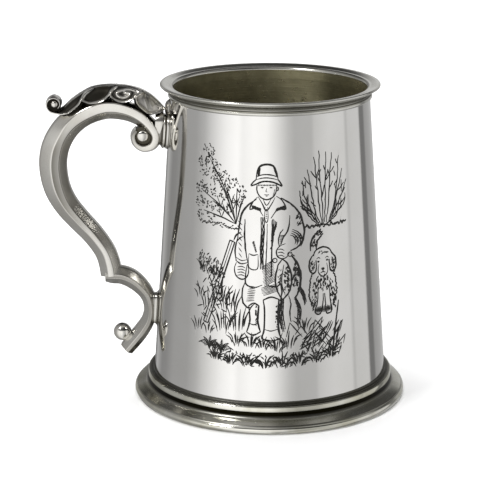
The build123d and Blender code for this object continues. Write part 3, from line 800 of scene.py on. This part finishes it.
def stroke_quads(stroke):
    """Convex four-cornered pieces of a stroke given as (across, up, width) points."""
    points = np.array([(across, up) for across, up, _ in stroke])
    widths = np.array([width for _, _, width in stroke])[:, None]
    along = np.gradient(points, axis=0)
    side = np.stack([-along[:, 1], along[:, 0]], axis=1)
    side /= np.maximum(np.linalg.norm(side, axis=1, keepdims=True), 1e-6)
    left, right = points + side * widths / 2, points - side * widths / 2
    quads = []
    for index in range(len(stroke) - 1):
        corners = [left[index], right[index], right[index + 1], left[index + 1]]
        turns = [cross(corners[turn - 1] - corners[turn - 2], corners[turn] - corners[turn - 1])
                 for turn in range(4)]
        if min(turns) < SMALLEST_TURN:
            step = points[index + 1] - points[index]
            square = np.array([-step[1], step[0]]) / max(np.linalg.norm(step), 1e-6) / 2
            start, end = square * widths[index], square * widths[index + 1]
            corners = [points[index] + start, points[index] - start, points[index + 1] - end,
                       points[index + 1] + end]
        quads.append(corners)
    return quads


def cross(first, second):
    """Turn from one flat direction to another; positive is to the left."""
    return first[0] * second[1] - first[1] * second[0]


def triangulate_picture(strokes):
    """Splits the flat panel into triangles that follow every cut.

    Returns the flat vertices, the grid places of the border vertices, the triangles and whether
    each triangle is part of a cut."""
    column_width = PICTURE_RADIUS * 2 * math.pi / COLUMNS
    vertices, edges, faces, border = [], [], [], {}
    for column in range(-PANEL_COLUMNS, PANEL_COLUMNS + 1):
        for row, height in enumerate(PANEL_ROWS):
            at_border = abs(column) == PANEL_COLUMNS or row in (0, len(PANEL_ROWS) - 1)
            if at_border:
                border[len(vertices)] = (column, row)
            if at_border or row % 2:
                vertices.append(Vector((column * column_width, height)))
    for stroke in strokes:
        first = len(vertices)
        vertices += [Vector((across, up)) for across, up, _ in stroke]
        edges += [(first + index, first + index + 1) for index in range(len(stroke) - 1)]
        for corners in stroke_quads(stroke):
            first = len(vertices)
            vertices += [Vector(tuple(corner)) for corner in corners]
            faces.append((first, first + 1, first + 2, first + 3))
    flat, _, triangles, originals, _, cuts = delaunay_2d_cdt(vertices, edges, faces, 0, 1e-4, True)
    places = {}
    for index, sources in enumerate(originals):
        for source in sources:
            if source in border:
                places[index] = border[source]
    return flat, places, triangles, [len(cut) > 0 for cut in cuts]


def cut_depths(flat, strokes):
    """Depth of the V-shaped cuts at each flat vertex."""
    cells = {}
    for stroke in strokes:
        for start, end in zip(stroke, stroke[1:]):
            reach = max(start[2], end[2])
            low = [int((min(start[axis], end[axis]) - reach) // CELL) for axis in (0, 1)]
            high = [int((max(start[axis], end[axis]) + reach) // CELL) for axis in (0, 1)]
            for column in range(low[0], high[0] + 1):
                for row in range(low[1], high[1] + 1):
                    cells.setdefault((column, row), []).append((*start, *end))
    cells = {cell: np.array(pieces) for cell, pieces in cells.items()}
    depths = []
    for across, up in flat:
        near = cells.get((int(across // CELL), int(up // CELL)))
        if near is None:
            depths.append(0.0)
            continue
        spot, start, end = np.array([across, up]), near[:, 0:2], near[:, 3:5]
        step = end - start
        share = ((spot - start) * step).sum(axis=1) / np.maximum((step ** 2).sum(axis=1), 1e-9)
        share = np.clip(share, 0, 1)
        gap = np.linalg.norm(start + step * share[:, None] - spot, axis=1)
        half = (near[:, 2] + (near[:, 5] - near[:, 2]) * share) / 2
        depths.append(CUT_DEPTH * float(np.clip(1 - gap / half, 0, 1).max()))
    return depths


def engraved_drum():
    """The tapered wall's outer side in one mesh, engraved across the panel; build_drum adds the plain inner
    side and both edges.
    """
    strokes = picture_strokes()
    flat, places, triangles, is_cut = triangulate_picture(strokes)
    depths = cut_depths(flat, strokes)
    vertices, faces, kinds = [], [], []
    pitch = 2 * math.pi / COLUMNS
    first_panel_row = WALL_ROWS.index(PANEL_ROWS[0])
    outer = {}
    for column in range(-PANEL_COLUMNS, COLUMNS - PANEL_COLUMNS):
        for row, height in enumerate(WALL_ROWS):
            inside = abs(column) < PANEL_COLUMNS and 0 < row - first_panel_row < len(PANEL_ROWS) - 1
            if not inside:
                outer[(column, row)] = len(vertices)
                vertices.append(wall_point(column * pitch, height))

    def outer_vertex(column, row):
        return outer[((column + PANEL_COLUMNS) % COLUMNS - PANEL_COLUMNS, row)]

    for column in range(-PANEL_COLUMNS, COLUMNS - PANEL_COLUMNS):
        for row in range(len(WALL_ROWS) - 1):
            beside = -PANEL_COLUMNS <= column < PANEL_COLUMNS
            if beside and 0 <= row - first_panel_row < len(PANEL_ROWS) - 1:
                continue
            faces.append((outer_vertex(column, row), outer_vertex(column + 1, row),
                          outer_vertex(column + 1, row + 1), outer_vertex(column, row + 1)))
            kinds.append(SMOOTH)
    panel = []
    for index, (across, up) in enumerate(flat):
        if index in places:
            column, row = places[index]
            panel.append(outer_vertex(column, row + first_panel_row))
        else:
            panel.append(len(vertices))
            vertices.append(wall_point(across / PICTURE_RADIUS, up, depths[index]))
    for triangle, cut in zip(triangles, is_cut):
        faces.append(tuple(panel[index] for index in triangle))
        kinds.append(CUT if cut else SMOOTH)
    return vertices, faces, kinds, outer_vertex


def build_drum():
    """Drum piece with smooth cone normals outside the cuts and dark finish left in the cuts."""
    vertices, faces, kinds, outer_vertex = engraved_drum()
    rows = (0, len(WALL_ROWS) - 1)
    inner = {}
    for column in range(-PANEL_COLUMNS, COLUMNS - PANEL_COLUMNS):
        for row in rows:
            inner[(column, row)] = len(vertices)
            vertices.append(wall_point(column * 2 * math.pi / COLUMNS, WALL_ROWS[row], WALL))

    def inner_vertex(column, row):
        return inner[((column + PANEL_COLUMNS) % COLUMNS - PANEL_COLUMNS, row)]

    low, high = rows
    for column in range(-PANEL_COLUMNS, COLUMNS - PANEL_COLUMNS):
        after = column + 1
        faces.append((inner_vertex(after, low), inner_vertex(column, low), inner_vertex(column, high),
                      inner_vertex(after, high)))
        kinds.append(INSIDE)
        faces.append((outer_vertex(column, high), outer_vertex(after, high), inner_vertex(after, high),
                      inner_vertex(column, high)))
        faces.append((outer_vertex(after, low), outer_vertex(column, low), inner_vertex(column, low),
                      inner_vertex(after, low)))
        kinds += [FLAT, FLAT]
    kinds = np.array(kinds)
    material_index = np.select([kinds == CUT, kinds == INSIDE], [1, 2], 0)
    drum = make_object("drum_wall", vertices, faces, [drum_metal, cut_metal, inside_metal], material_index)
    mesh = drum.data
    normals = []
    for face, kind in zip(mesh.polygons, kinds):
        for index in face.vertices:
            if kind in (SMOOTH, INSIDE):
                x, y, _ = mesh.vertices[index].co
                sign = 1 if kind == SMOOTH else -1
                spoke = math.hypot(x, y)
                normals.append(Vector((sign * x / spoke, sign * y / spoke, sign * DRUM_TAPER)).normalized())
            else:
                normals.append(face.normal)
    mesh.normals_split_custom_set(normals)
    return drum


drum = build_drum()
finish_piece(drum, "drum")

# ---------------------------------------------------------------- handle

# Stations of the scrolls: reach from the drum's axis, height, depth, width (millimetres), then the
# shares of the depth taken by the outer and the finger-side chamfers, and the sides' patina and painted
# shade
UPPER = [
    (61.4, 47.0, 8.2, 9.4, 0.40, 0.33, 0.10), (62.1, 51.5, 8.2, 9.6, 0.42, 0.33, 0.10),
    (64.0, 56.8, 8.0, 9.8, 0.45, 0.33, 0.10), (68.3, 63.1, 8.2, 10.1, 0.45, 0.33, 0.15),
    (73.2, 68.6, 8.6, 10.4, 0.45, 0.32, 0.45), (78.0, 74.6, 9.2, 10.7, 0.45, 0.31, 0.65),
    (81.4, 81.5, 10.0, 11.0, 0.46, 0.26, 0.78), (82.7, 89.5, 10.5, 11.0, 0.46, 0.26, 0.78),
    (81.9, 96.5, 10.6, 11.0, 0.46, 0.27, 0.74), (79.2, 102.4, 10.2, 10.8, 0.46, 0.31, 0.52),
    (75.0, 107.2, 9.6, 10.4, 0.36, 0.32, 0.28), (69.2, 110.6, 8.8, 10.0, 0.24, 0.33, 0.10),
    (62.0, 112.2, 7.8, 9.8, 0.12, 0.41, 0.0), (55.5, 111.5, 7.2, 9.6, 0.12, 0.43, 0.0),
    (50.0, 109.2, 6.4, 9.4, 0.12, 0.40, 0.0), (45.7, 105.6, 5.4, 9.2, 0.16, 0.34, 0.0),
    (43.6, 101.8, 4.8, 9.1, 0.20, 0.28, 0.0), (44.8, 98.4, 4.4, 9.0, 0.22, 0.26, 0.0),
    (48.2, 97.4, 3.8, 8.8, 0.24, 0.26, 0.1), (51.0, 99.0, 2.9, 8.6, 0.26, 0.26, 0.3),
    (51.9, 101.9, 2.4, 8.3, 0.26, 0.26, 0.5), (50.8, 104.2, 2.0, 8.0, 0.26, 0.26, 0.8),
]
LOWER = [
    (63.6, 46.8, 5.6, 8.6, 0.40, 0.30, 0.35), (60.8, 46.7, 6.8, 9.2, 0.45, 0.31, 0.35),
    (57.4, 46.5, 7.0, 9.4, 0.45, 0.33, 0.30), (53.8, 45.0, 7.0, 9.4, 0.45, 0.33, 0.25),
    (50.4, 42.2, 6.3, 9.4, 0.45, 0.33, 0.25), (47.6, 38.3, 5.4, 9.2, 0.45, 0.33, 0.30),
    (46.6, 33.6, 4.8, 9.0, 0.45, 0.33, 0.40), (47.3, 28.6, 5.2, 9.0, 0.45, 0.33, 0.40),
    (49.8, 24.2, 5.8, 9.0, 0.45, 0.33, 0.30), (53.0, 20.1, 6.0, 8.8, 0.45, 0.33, 0.25),
    (56.0, 16.4, 5.6, 8.4, 0.45, 0.33, 0.25),
]
ROUNDING_STEPS = (0.0, 0.25, 0.5, 0.75, 1.0)
INNER_EDGES = (2, 5)             # corners where the sides meet the finger-side chamfers
INNER_CORNERS = (3, 4)           # corners of the flat on the finger side
OUTER_EDGES = (1, 6)             # corners where the sides meet the outer chamfers
INNER_TONE = 0.30                # least patina and painted shade on the finger side
INNER_GAIN = 0.30                # how far it follows the sides' patina and painted shade
EDGE_TONE = 0.90                 # painted shade and patina along the inner edges
OUTER_TONE = 0.14                # patina and painted shade on the outer chamfers
SIDE_FADE = 0.7                  # share of the sides' patina and painted shade left beside the inner edges
HEEL_EXTRA_TONE = 0.30           # the lower scroll has this much more painted shade and patina on its sides
# painted shade and patina on the lower scroll's outer chamfers
HEEL_OUTER_TONE = 0.25


def skin(vertices, count, tones):
    """Joins rings of count vertices into a closed tube with flat ends: a loose part of a piece."""
    rings = len(vertices) // count
    faces = []
    for ring in range(rings - 1):
        for index in range(count):
            after = (index + 1) % count
            faces.append((ring * count + index, ring * count + after, (ring + 1) * count + after,
                          (ring + 1) * count + index))
    faces += [tuple(range(count)), tuple((rings - 1) * count + index for index in range(count))]
    return vertices, faces, tones


def joined(name, parts, material, sharp_angle=50.0):
    """One object from several skins, with outward normals and its patina stored as "cavity"."""
    vertices, faces, tones = [], [], []
    for part_vertices, part_faces, part_tones in parts:
        first = len(vertices)
        vertices += part_vertices
        faces += [tuple(first + index for index in face) for face in part_faces]
        tones += part_tones
    piece = make_object(name, vertices, faces, [material], sharp_angle=180.0)
    work = bmesh.new()
    work.from_mesh(piece.data)
    bmesh.ops.recalc_face_normals(work, faces=work.faces)
    work.to_mesh(piece.data)
    work.free()
    piece.data.set_sharp_from_angle(angle=math.radians(sharp_angle))
    store_patina_and_shade(piece, tones)
    return piece


def scroll_section(width, depth, outer, inner, rounding=0.16):
    """Eight-sided section with softened ridges, as (across, outwards) points."""
    back = depth / 2
    corners = [
        (width * 0.18, back), (width / 2, back - outer * depth), (width / 2, inner * depth - back),
        (width * 0.20, -back), (-width * 0.20, -back), (-width / 2, inner * depth - back),
        (-width / 2, back - outer * depth), (-width * 0.18, back),
    ]
    points = []
    count = len(corners)
    for index in range(count):
        before, here, after = (np.array(corners[(index + shift) % count]) for shift in (-1, 0, 1))
        start = here + (before - here) * rounding
        end = here + (after - here) * rounding
        for t in ROUNDING_STEPS:
            points.append((1 - t) ** 2 * start + 2 * t * (1 - t) * here + t ** 2 * end)
    return points


def section_tones(side_tone, outer_tone=OUTER_TONE):
    """Patina and painted shade round the eight-sided section: most on the finger side and darkest along its
    edges, least on the ridges.
    """
    inner_tone = INNER_TONE + INNER_GAIN * side_tone
    tones = []
    for corner in range(8):
        for t in ROUNDING_STEPS:
            inward = 1 - t if corner > 3 else t
            if corner in INNER_CORNERS:
                tones.append(inner_tone)
            elif corner in INNER_EDGES:
                edge = (SIDE_FADE * side_tone, 0, EDGE_TONE, inner_tone)
                tones.append(float(np.interp(inward, (0, 0.25, 0.5, 0.75), edge)))
            elif corner in OUTER_EDGES:
                tones.append(float(np.interp(inward, (0.25, 0.5, 0.75), (outer_tone, 0, side_tone))))
            else:
                tones.append(outer_tone)
    return tones


def heel_tones(side_tone):
    """The lower scroll gets more patina and painted shade all round."""
    return section_tones(min(side_tone + HEEL_EXTRA_TONE, 1.0), HEEL_OUTER_TONE)


def strap_tones(side_tone):
    """Plain strap: the same patina and painted shade all round."""
    return [side_tone] * 8 * len(ROUNDING_STEPS)


def sweep(stations, outward, steps, tones=section_tones):
    """Sweeps the section through stations of (reach, height, depth, width, outer, inner, patina and painted
    shade).

    outward is 1 where the side away from the fingers lies to the right of the path, else -1."""
    line = curve_through(stations, steps)
    vertices, shades = [], []
    rings = len(line)
    for index in range(rings):
        reach, height, depth, width, outer, inner, side_tone = line[index]
        before, after = line[max(index - 1, 0)], line[min(index + 1, rings - 1)]
        along = np.array([after[0] - before[0], after[1] - before[1]])
        along /= np.linalg.norm(along)
        out = np.array([along[1], -along[0]]) * outward
        for across, outwards in scroll_section(width, depth, outer, inner):
            spot = np.array([reach, height]) + out * outwards
            vertices.append((-spot[0], across, spot[1]))
        shades += tones(min(max(side_tone, 0.0), 1.0))
    return skin(vertices, len(vertices) // rings, shades)


def knob(centre, profile, turns=40, tone=0.0):
    """A part turned about a line across the handle; profile is (radius, across) points."""
    vertices = []
    for radius, across in profile:
        for turn in range(turns):
            angle = 2 * math.pi * turn / turns
            vertices.append((-centre[0] - radius * math.cos(angle), across,
                             centre[1] + radius * math.sin(angle)))
    return skin(vertices, turns, [tone] * len(vertices))


def domed(radius, half_length, dome, steps=8):
    """Profile of a stub with domed ends."""
    near = [(radius * math.cos(angle), -half_length - dome * math.sin(angle))
            for angle in np.linspace(1.5, 0, steps)]
    return near + [(near_radius, -across) for near_radius, across in reversed(near)]


def disc(radius, half_length):
    """Profile of a flat-ended disc."""
    return [(0.05, -half_length), (radius, -half_length), (radius, half_length), (0.05, half_length)]


VOLUTE_EYE = (48.4, 102.1)
upper = joined("grip_scroll", [
    sweep(UPPER, 1, 12),
    knob(VOLUTE_EYE, domed(2.15, 3.7, 1.0)),
    # dark disc round the eye's boss: painted shade in the scroll's eye, with patina
    knob(VOLUTE_EYE, disc(3.4, 2.9), tone=0.95),
], cast_metal)
finish_piece(upper, "upper_scroll")
lower = joined("heel_scroll", [sweep(LOWER, -1, 12, heel_tones)], cast_metal)
finish_piece(lower, "lower_scroll")


BALL_CENTRE = (57.5, 23.3)
BALL_RADIUS = 3.5
COLLAR_START = 0.86              # the collar takes the ball's cap beyond this share of its radius
COLLAR_RADIUS = 1.55
# painted shade and patina on the collar, where the ball beds into the scroll
COLLAR_TONE = 0.9


def add_heel_ball():
    """Ball on the heel, with a short collar bedding it into the scroll."""
    rows, turns = 24, 40
    vertices, tones = [], []
    towards = np.array([-0.72, -0.69])   # from the scroll's heel to the ball
    sideways = np.array([0.69, -0.72])
    for row in range(rows + 1):
        angle = math.pi * row / rows
        out, along = BALL_RADIUS * math.sin(angle), BALL_RADIUS * math.cos(angle)
        collar = along > BALL_RADIUS * COLLAR_START
        if collar:
            out = max(out, COLLAR_RADIUS + 0.25 * math.sin(row * 2.2))
        for turn in range(turns):
            spin = 2 * math.pi * turn / turns
            flat = towards * along + sideways * out * math.cos(spin)
            vertices.append((-BALL_CENTRE[0] - flat[0], out * math.sin(spin), BALL_CENTRE[1] + flat[1]))
            tones.append(COLLAR_TONE if collar else 0.0)
    ball = joined("heel_knob", [skin(vertices, turns, tones)], cast_metal)
    finish_piece(ball, "heel_ball")


def neck(mid_height, rings, corner, turns=72):
    """An oval neck out from the drum's wall.

    rings are (reach from the wall, half height, half width, patina and painted shade)."""
    vertices, tones = [], []
    for reach, half_height, half_width, tone in rings:
        for turn in range(turns):
            angle = 2 * math.pi * turn / turns
            cosine, sine = math.cos(angle), math.sin(angle)
            across = half_width * math.copysign(abs(cosine) ** corner, cosine)
            height = mid_height + half_height * math.copysign(abs(sine) ** corner, sine)
            wall = math.sqrt(drum_radius(height) ** 2 - across ** 2)
            vertices.append((-wall - reach, across, height))
            tones.append(tone)
    return skin(vertices, turns, tones)


def add_necks():
    """Ringed socket under the volute and waisted lug on the lower scroll."""
    # Dark rings of painted shade and patina in the socket's grooves and where the necks meet the wall
    socket_rings = [
        (0.0, 6.8, 6.0, 0.9), (0.35, 6.8, 6.0, 0.3), (0.75, 6.7, 5.9, 0.0), (0.95, 6.35, 5.55, 0.95),
        (1.25, 6.2, 5.4, 0.95), (1.45, 6.5, 5.7, 0.0), (1.8, 6.65, 5.85, 0.0), (2.1, 6.5, 5.7, 0.0),
        (2.3, 6.0, 5.2, 0.9), (2.6, 5.6, 4.8, 0.9), (3.2, 5.0, 4.3, 0.6), (4.4, 4.4, 4.0, 0.6),
    ]
    collar_rings = [(2.2, 5.6, 4.6, 0.4), (3.4, 5.8, 4.5, 0.12), (5.2, 5.2, 4.0, 0.12)]
    tongue_rings = [(0.0, 3.3, 3.6, 0.9), (0.5, 3.1, 3.3, 0.2), (1.2, 2.5, 2.6, 0.7), (1.7, 1.6, 1.8, 0.3)]
    socket = joined("volute_socket", [neck(103.4, socket_rings, 0.78), neck(112.4, tongue_rings, 1.0),
                                      neck(105.4, collar_rings, 0.9)], cast_metal)
    finish_piece(socket, "upper_socket")
    lug_rings = [
        # painted shade and patina where the lug meets the wall and the scroll
        (0.0, 7.2, 4.2, 0.85), (0.35, 6.6, 3.7, 0.4), (0.9, 6.1, 3.3, 0.2), (1.6, 6.0, 3.2, 0.35),
        (2.4, 6.3, 3.5, 0.7), (3.2, 6.6, 4.0, 0.9),
    ]
    lug = joined("heel_lug", [neck(33.0, lug_rings, 0.6)], cast_metal)
    finish_piece(lug, "lower_lug")


add_heel_ball()
add_necks()

# ---------------------------------------------------------------- leaf crest

# The crest is drawn in the handle's plane, as (reach, height), about the middle of the arch
CREST_MIDDLE = np.array([62.5, 100.0])
CREST_BACK = [
    (80.6, 111.6), (78.1, 113.2), (75.0, 116.0), (71.1, 118.7), (68.2, 120.3), (65.3, 121.1), (61.4, 121.5),
    (57.1, 121.4), (52.8, 120.9), (48.5, 119.5), (45.2, 117.7), (42.4, 115.2), (40.4, 113.0), (39.6, 111.9),
]
LEAF_RIMS = [[(80.4, 110.9), (79.3, 110.6), (76.5, 111.1), (73.8, 112.9), (72.0, 114.6), (71.1, 116.2)],
             [(71.1, 116.2), (70.0, 115.5), (68.3, 114.9), (65.5, 115.1), (62.8, 116.1), (60.7, 118.0)],
             [(60.5, 118.3), (59.7, 117.0), (58.3, 116.0), (56.7, 115.4), (54.6, 115.4), (52.2, 116.4),
              (50.8, 117.4)], [(50.8, 117.4), (50.2, 114.8), (48.2, 112.6), (45.5, 110.8), (42.4, 110.9),
                               (40.2, 111.6)], ]
LEAF_DIVIDERS = [
    [(71.1, 116.2), (69.8, 118.5), (67.1, 120.6)],
    [(60.7, 118.0), (59.7, 119.7), (58.0, 121.2)],
    [(50.8, 117.4), (49.0, 118.4), (47.1, 119.2)],
    [(48.8, 119.0), (50.6, 119.7), (53.2, 120.3), (56.4, 119.8), (57.8, 118.9), (57.3, 117.8), (55.3, 117.2),
     (53.4, 117.8), (52.9, 118.8), (54.6, 119.0)],
]
LEAF_VEINS = [
    [(47.6, 117.8), (46.9, 115.6), (46.2, 112.8)], [(45.9, 117.0), (45.1, 115.2), (44.1, 112.4)],
    [(44.3, 115.8), (43.2, 114.2), (42.2, 112.4)],
]
# Patina and painted shade over the crest by reach: light near the drum, nearly full from the middle out to
# the curl
LEAF_TONES = [(39.0, 0.30), (49.0, 0.50), (51.5, 0.93), (59.0, 0.95), (61.5, 1.0), (80.0, 0.98)]
CREST_HALF_WIDTH = 4.85
CREST_END_COLUMNS = 16           # the crest narrows over this many columns at each end
CURL_CENTRE = np.array([81.5, 114.3])
RIM_HEIGHT, RIM_SPREAD = 0.46, 0.46
VEIN_HEIGHT, VEIN_SPREAD = 0.18, 0.22
HOLLOW_DEPTH, HOLLOW_SPREAD = 0.75, 0.8


def turn_about_crest(points):
    """Angle and distance of (reach, height) points from the middle of the arch."""
    offset = np.asarray(points, dtype=float) - CREST_MIDDLE
    return np.arctan2(offset[..., 1], offset[..., 0]), np.hypot(offset[..., 0], offset[..., 1])


def gap_to(lines, spots):
    """Distance of each spot from the nearest of several smooth lines."""
    nearest = np.full(len(spots), 1e3)
    for line in lines:
        for point in curve_through(line, 10):
            nearest = np.minimum(nearest, np.hypot(*(spots - point).T))
    return nearest


def leaf_surface():
    """Crest surface: a domed saddle with raised leaf edges and hollows between them, darkened away from the
    rims with painted shade and patina.
    """
    along, across = 230, 34
    edge = np.concatenate([np.array(curve_through(rim, 8)) for rim in LEAF_RIMS])
    edge_turn, edge_reach = turn_about_crest(edge)
    back_turn, back_reach = turn_about_crest(curve_through(CREST_BACK, 8))
    order = np.argsort(edge_turn)
    turns = np.linspace(edge_turn.min() + 0.01, edge_turn.max() - 0.01, along)
    low = np.interp(turns, edge_turn[order], edge_reach[order])
    high = np.maximum(np.interp(turns, back_turn, back_reach), low + 0.25)
    ends = np.minimum(np.arange(along), np.arange(along)[::-1]) / CREST_END_COLUMNS
    half_width = CREST_HALF_WIDTH * (0.72 + 0.28 * np.clip(ends, 0, 1))
    rows = []
    for step in range(across + 1):
        rise = math.pi / 2 * step / across
        distance = low + (high - low) * math.sin(rise)
        spots = CREST_MIDDLE + np.stack([distance * np.cos(turns), distance * np.sin(turns)], axis=1)
        rim_gap = np.minimum(gap_to(LEAF_RIMS + LEAF_DIVIDERS, spots), (high - distance) * 2.2 + 0.1)
        vein_gap = gap_to(LEAF_VEINS, spots)
        relief = (RIM_HEIGHT * np.exp(-(rim_gap / RIM_SPREAD) ** 2)
                  + VEIN_HEIGHT * np.exp(-(vein_gap / VEIN_SPREAD) ** 2)
                  - HOLLOW_DEPTH * (1 - np.exp(-(rim_gap / HOLLOW_SPREAD) ** 2)))
        fade = 1 - max(0.0, (step / across - 0.7) / 0.3)
        # painted shade and patina everywhere but on the leaf rims
        shade = np.interp(spots[:, 0], *zip(*LEAF_TONES))
        tone = shade * np.clip((rim_gap - 0.42) / 0.30, 0, 1)
        wide = half_width * math.cos(rise) ** 0.8 + relief * math.cos(rise) * fade
        tall = distance + relief * math.sin(rise) * fade * 0.5
        rows.append((tall, wide, tone))
    return turns, rows, low, half_width


def crest_shell():
    """Mirrors the leaf surface to both sides and closes it over the arch."""
    turns, rows, low, half_width = leaf_surface()
    # the skirt tucked under the leaf edges gets full painted shade and patina
    skirt = (low - 1.2, half_width - 1.0, np.ones(len(turns)))
    tuck = (low - 0.15, half_width - 0.55, np.ones(len(turns)))
    near = [skirt, tuck] + rows[:-1]
    far = list(reversed(near))
    ring = [(tall, -wide, tone) for tall, wide, tone in near] + [(rows[-1][0], 0 * low, rows[-1][2])] + far
    vertices, tones = [], []
    for index, turn in enumerate(turns):
        for tall, wide, tone in ring:
            vertices.append((-CREST_MIDDLE[0] - tall[index] * math.cos(turn), wide[index],
                             CREST_MIDDLE[1] + tall[index] * math.sin(turn)))
            tones.append(float(tone[index]))
    return skin(vertices, len(ring), tones)


def add_crest():
    """Leaf crest with its end curl."""
    strap = [(76.4, 111.3, 0.9, 9.4, 0.3, 0.3, 0.0), (78.6, 110.8, 1.0, 8.8, 0.3, 0.3, 0.0)]
    for step in range(10):
        angle = math.radians(-82 + 34 * step)
        reach = 3.1 - 0.12 * step
        strap.append((CURL_CENTRE[0] + reach * math.cos(angle), CURL_CENTRE[1] + reach * math.sin(angle),
                      1.15 - 0.05 * step, 8.2 - 0.12 * step, 0.3, 0.3, 0.03 * step))
    crest = joined("crest_leaves", [
        crest_shell(),
        sweep(strap, 1, 6, strap_tones),
        knob(CURL_CENTRE + np.array([-0.1, 0.1]), domed(1.3, 3.0, 0.8)),
        # dark disc round the curl's boss: painted shade in the curl, with patina
        knob(CURL_CENTRE, disc(2.7, 2.4), tone=1.0),
    ], crest_metal, 60.0)
    finish_piece(crest, "leaf_crest")


add_crest()

# ---------------------------------------------------------------- camera, floor and light

# Camera's place in millimetres and its turns in degrees
CAMERA_DISTANCE = 689.0
CAMERA_HEIGHT = 252.7
CAMERA_PITCH = 15.72
CAMERA_AZIMUTH = -2.0
CAMERA_YAW = 0.634
LENS = 133.12
LIGHT_TARGET = Vector((0, 0, 0.06))


def add_camera():
    """Camera at the photograph's viewing angle."""
    data = bpy.data.cameras.new("camera")
    data.sensor_fit = "HORIZONTAL"
    data.sensor_width = 36.0
    data.lens = LENS
    data.clip_end = 50.0
    camera = bpy.data.objects.new("camera", data)
    azimuth = math.radians(CAMERA_AZIMUTH)
    camera.location = (CAMERA_DISTANCE * MM * math.sin(azimuth), -CAMERA_DISTANCE * MM * math.cos(azimuth),
                       CAMERA_HEIGHT * MM)
    camera.rotation_euler = (math.radians(90 - CAMERA_PITCH), 0, math.radians(CAMERA_YAW) + azimuth)
    bpy.context.scene.collection.objects.link(camera)
    bpy.context.scene.camera = camera


FLOOR_REACH = 4.0                # metres from the middle to each side
FLOOR_WHITE = (0.9, 0.9, 0.9, 1)


def add_floor():
    """Plain pale floor, not mirrored in the metal."""
    mesh = bpy.data.meshes.new("floor")
    corners = [(-FLOOR_REACH, -FLOOR_REACH, 0), (FLOOR_REACH, -FLOOR_REACH, 0),
               (FLOOR_REACH, FLOOR_REACH, 0), (-FLOOR_REACH, FLOOR_REACH, 0)]
    mesh.from_pydata(corners, [], [(0, 1, 2, 3)])
    material = bpy.data.materials.new("floor_white")
    shader = Nodes(material).shader
    shader.inputs["Base Color"].default_value = FLOOR_WHITE
    shader.inputs["Roughness"].default_value = 0.9
    mesh.materials.append(material)
    floor = bpy.data.objects.new("floor", mesh)
    bpy.context.scene.collection.objects.link(floor)
    floor.visible_glossy = False


# Brightness of the room round the table, as (bearing in degrees from the camera's side, turning to
# its right; brightness)
ROOM = [
    (-180, 0.62), (-174, 0.30), (-162, 0.24), (-154, 0.50), (-136, 0.30), (-126, 0.33), (-112, 0.45),
    (-90, 0.47), (-78, 0.60), (-70, 0.78), (-58, 0.98), (-46, 1.15), (-36, 1.25), (-30, 1.12),
    (-18, 1.22), (-4, 1.18), (6, 0.95), (13, 0.78), (20, 0.62), (27, 0.53), (47, 0.55), (50, 0.66),
    (68, 0.78), (90, 0.80), (94, 0.58), (97, 0.72), (118, 0.74), (121, 0.22), (130, 0.22), (133, 0.40),
    (150, 0.46), (180, 0.62),
]
ROOM_LEVEL = 0.8
ROOM_STRENGTH = 1.25

# Brightness from straight down (0) through the horizon (0.5) to straight up (1), where the ceiling is dark
LAYERS = [(0.0, 0.7), (0.30, 0.95), (0.42, 1.0), (0.66, 1.0), (0.70, 0.10), (0.88, 0.06), (0.93, 0.22),
          (1.0, 0.45)]

# How far the dark ceiling reaches down, by bearing: little of it on the handle's side
DARK_OVERHEAD = [
    (-180, 1.0), (-155, 0.9), (-120, 0.12), (-75, 0.12), (-50, 0.9), (0, 1.0), (60, 1.0), (90, 0.5),
    (130, 0.5), (155, 0.9), (180, 1.0),
]
PALE_OVERHEAD = (0.85, 0.85, 0.85)


def by_bearing(stops, scale=1.0):
    """Ramp stops over the full turn from (bearing, brightness) pairs."""
    return [((angle + 180) / 360, level * scale) for angle, level in stops]


def add_world():
    """A procedural room: soft panels round the horizon, dark above the camera, pale overhead."""
    world = bpy.data.worlds.new("studio")
    bpy.context.scene.world = world
    nodes = Nodes(world)
    turned = nodes.add("ShaderNodeVectorRotate", rotation_type="Z_AXIS", Angle=-math.radians(CAMERA_AZIMUTH))
    nodes.link(nodes.add("ShaderNodeTexCoord").outputs["Generated"], turned.inputs["Vector"])
    flat = nodes.add("ShaderNodeSeparateXYZ")
    nodes.link(turned.outputs["Vector"], flat.inputs[0])
    bearing = nodes.math("ARCTAN2", flat.outputs["X"], nodes.math("MULTIPLY", flat.outputs["Y"], -1.0))
    share = nodes.add("ShaderNodeMapRange", From_Min=-math.pi, From_Max=math.pi)
    nodes.link(bearing, share.inputs["Value"])
    height = nodes.add("ShaderNodeMapRange", From_Min=-1.0, From_Max=1.0)
    nodes.link(flat.outputs["Z"], height.inputs["Value"])
    room = nodes.ramp(share.outputs["Result"], by_bearing(ROOM, ROOM_LEVEL))
    above = nodes.add("ShaderNodeMix", data_type="RGBA", A=(*PALE_OVERHEAD, 1))
    nodes.link(nodes.ramp(share.outputs["Result"], by_bearing(DARK_OVERHEAD)), above.inputs["Factor"])
    nodes.link(nodes.ramp(height.outputs["Result"], LAYERS), above.inputs["B"])
    product = nodes.add("ShaderNodeMix", data_type="RGBA", blend_type="MULTIPLY", Factor=1.0)
    nodes.link(room, product.inputs["A"])
    nodes.link(above.outputs["Result"], product.inputs["B"])
    background = nodes.tree.nodes["Background"]
    nodes.link(product.outputs["Result"], background.inputs["Color"])
    background.inputs["Strength"].default_value = ROOM_STRENGTH


def add_light(name, power, size, place, seen_in_metal):
    """A square soft light aimed at the tankard."""
    data = bpy.data.lights.new(name, "AREA")
    data.energy = power
    data.size = size
    light = bpy.data.objects.new(name, data)
    light.location = place
    light.rotation_euler = (LIGHT_TARGET - Vector(place)).to_track_quat("-Z", "Y").to_euler()
    light.visible_glossy = seen_in_metal
    bpy.context.scene.collection.objects.link(light)


add_camera()
add_floor()
add_world()
add_light("overhead", 110.0, 3.0, (-0.2, 0.8, 2.4), False)
add_light("softbox", 4.5, 0.26, (-0.62, -0.45, 0.95), True)
bpy.context.scene.view_settings.view_transform = "Standard"
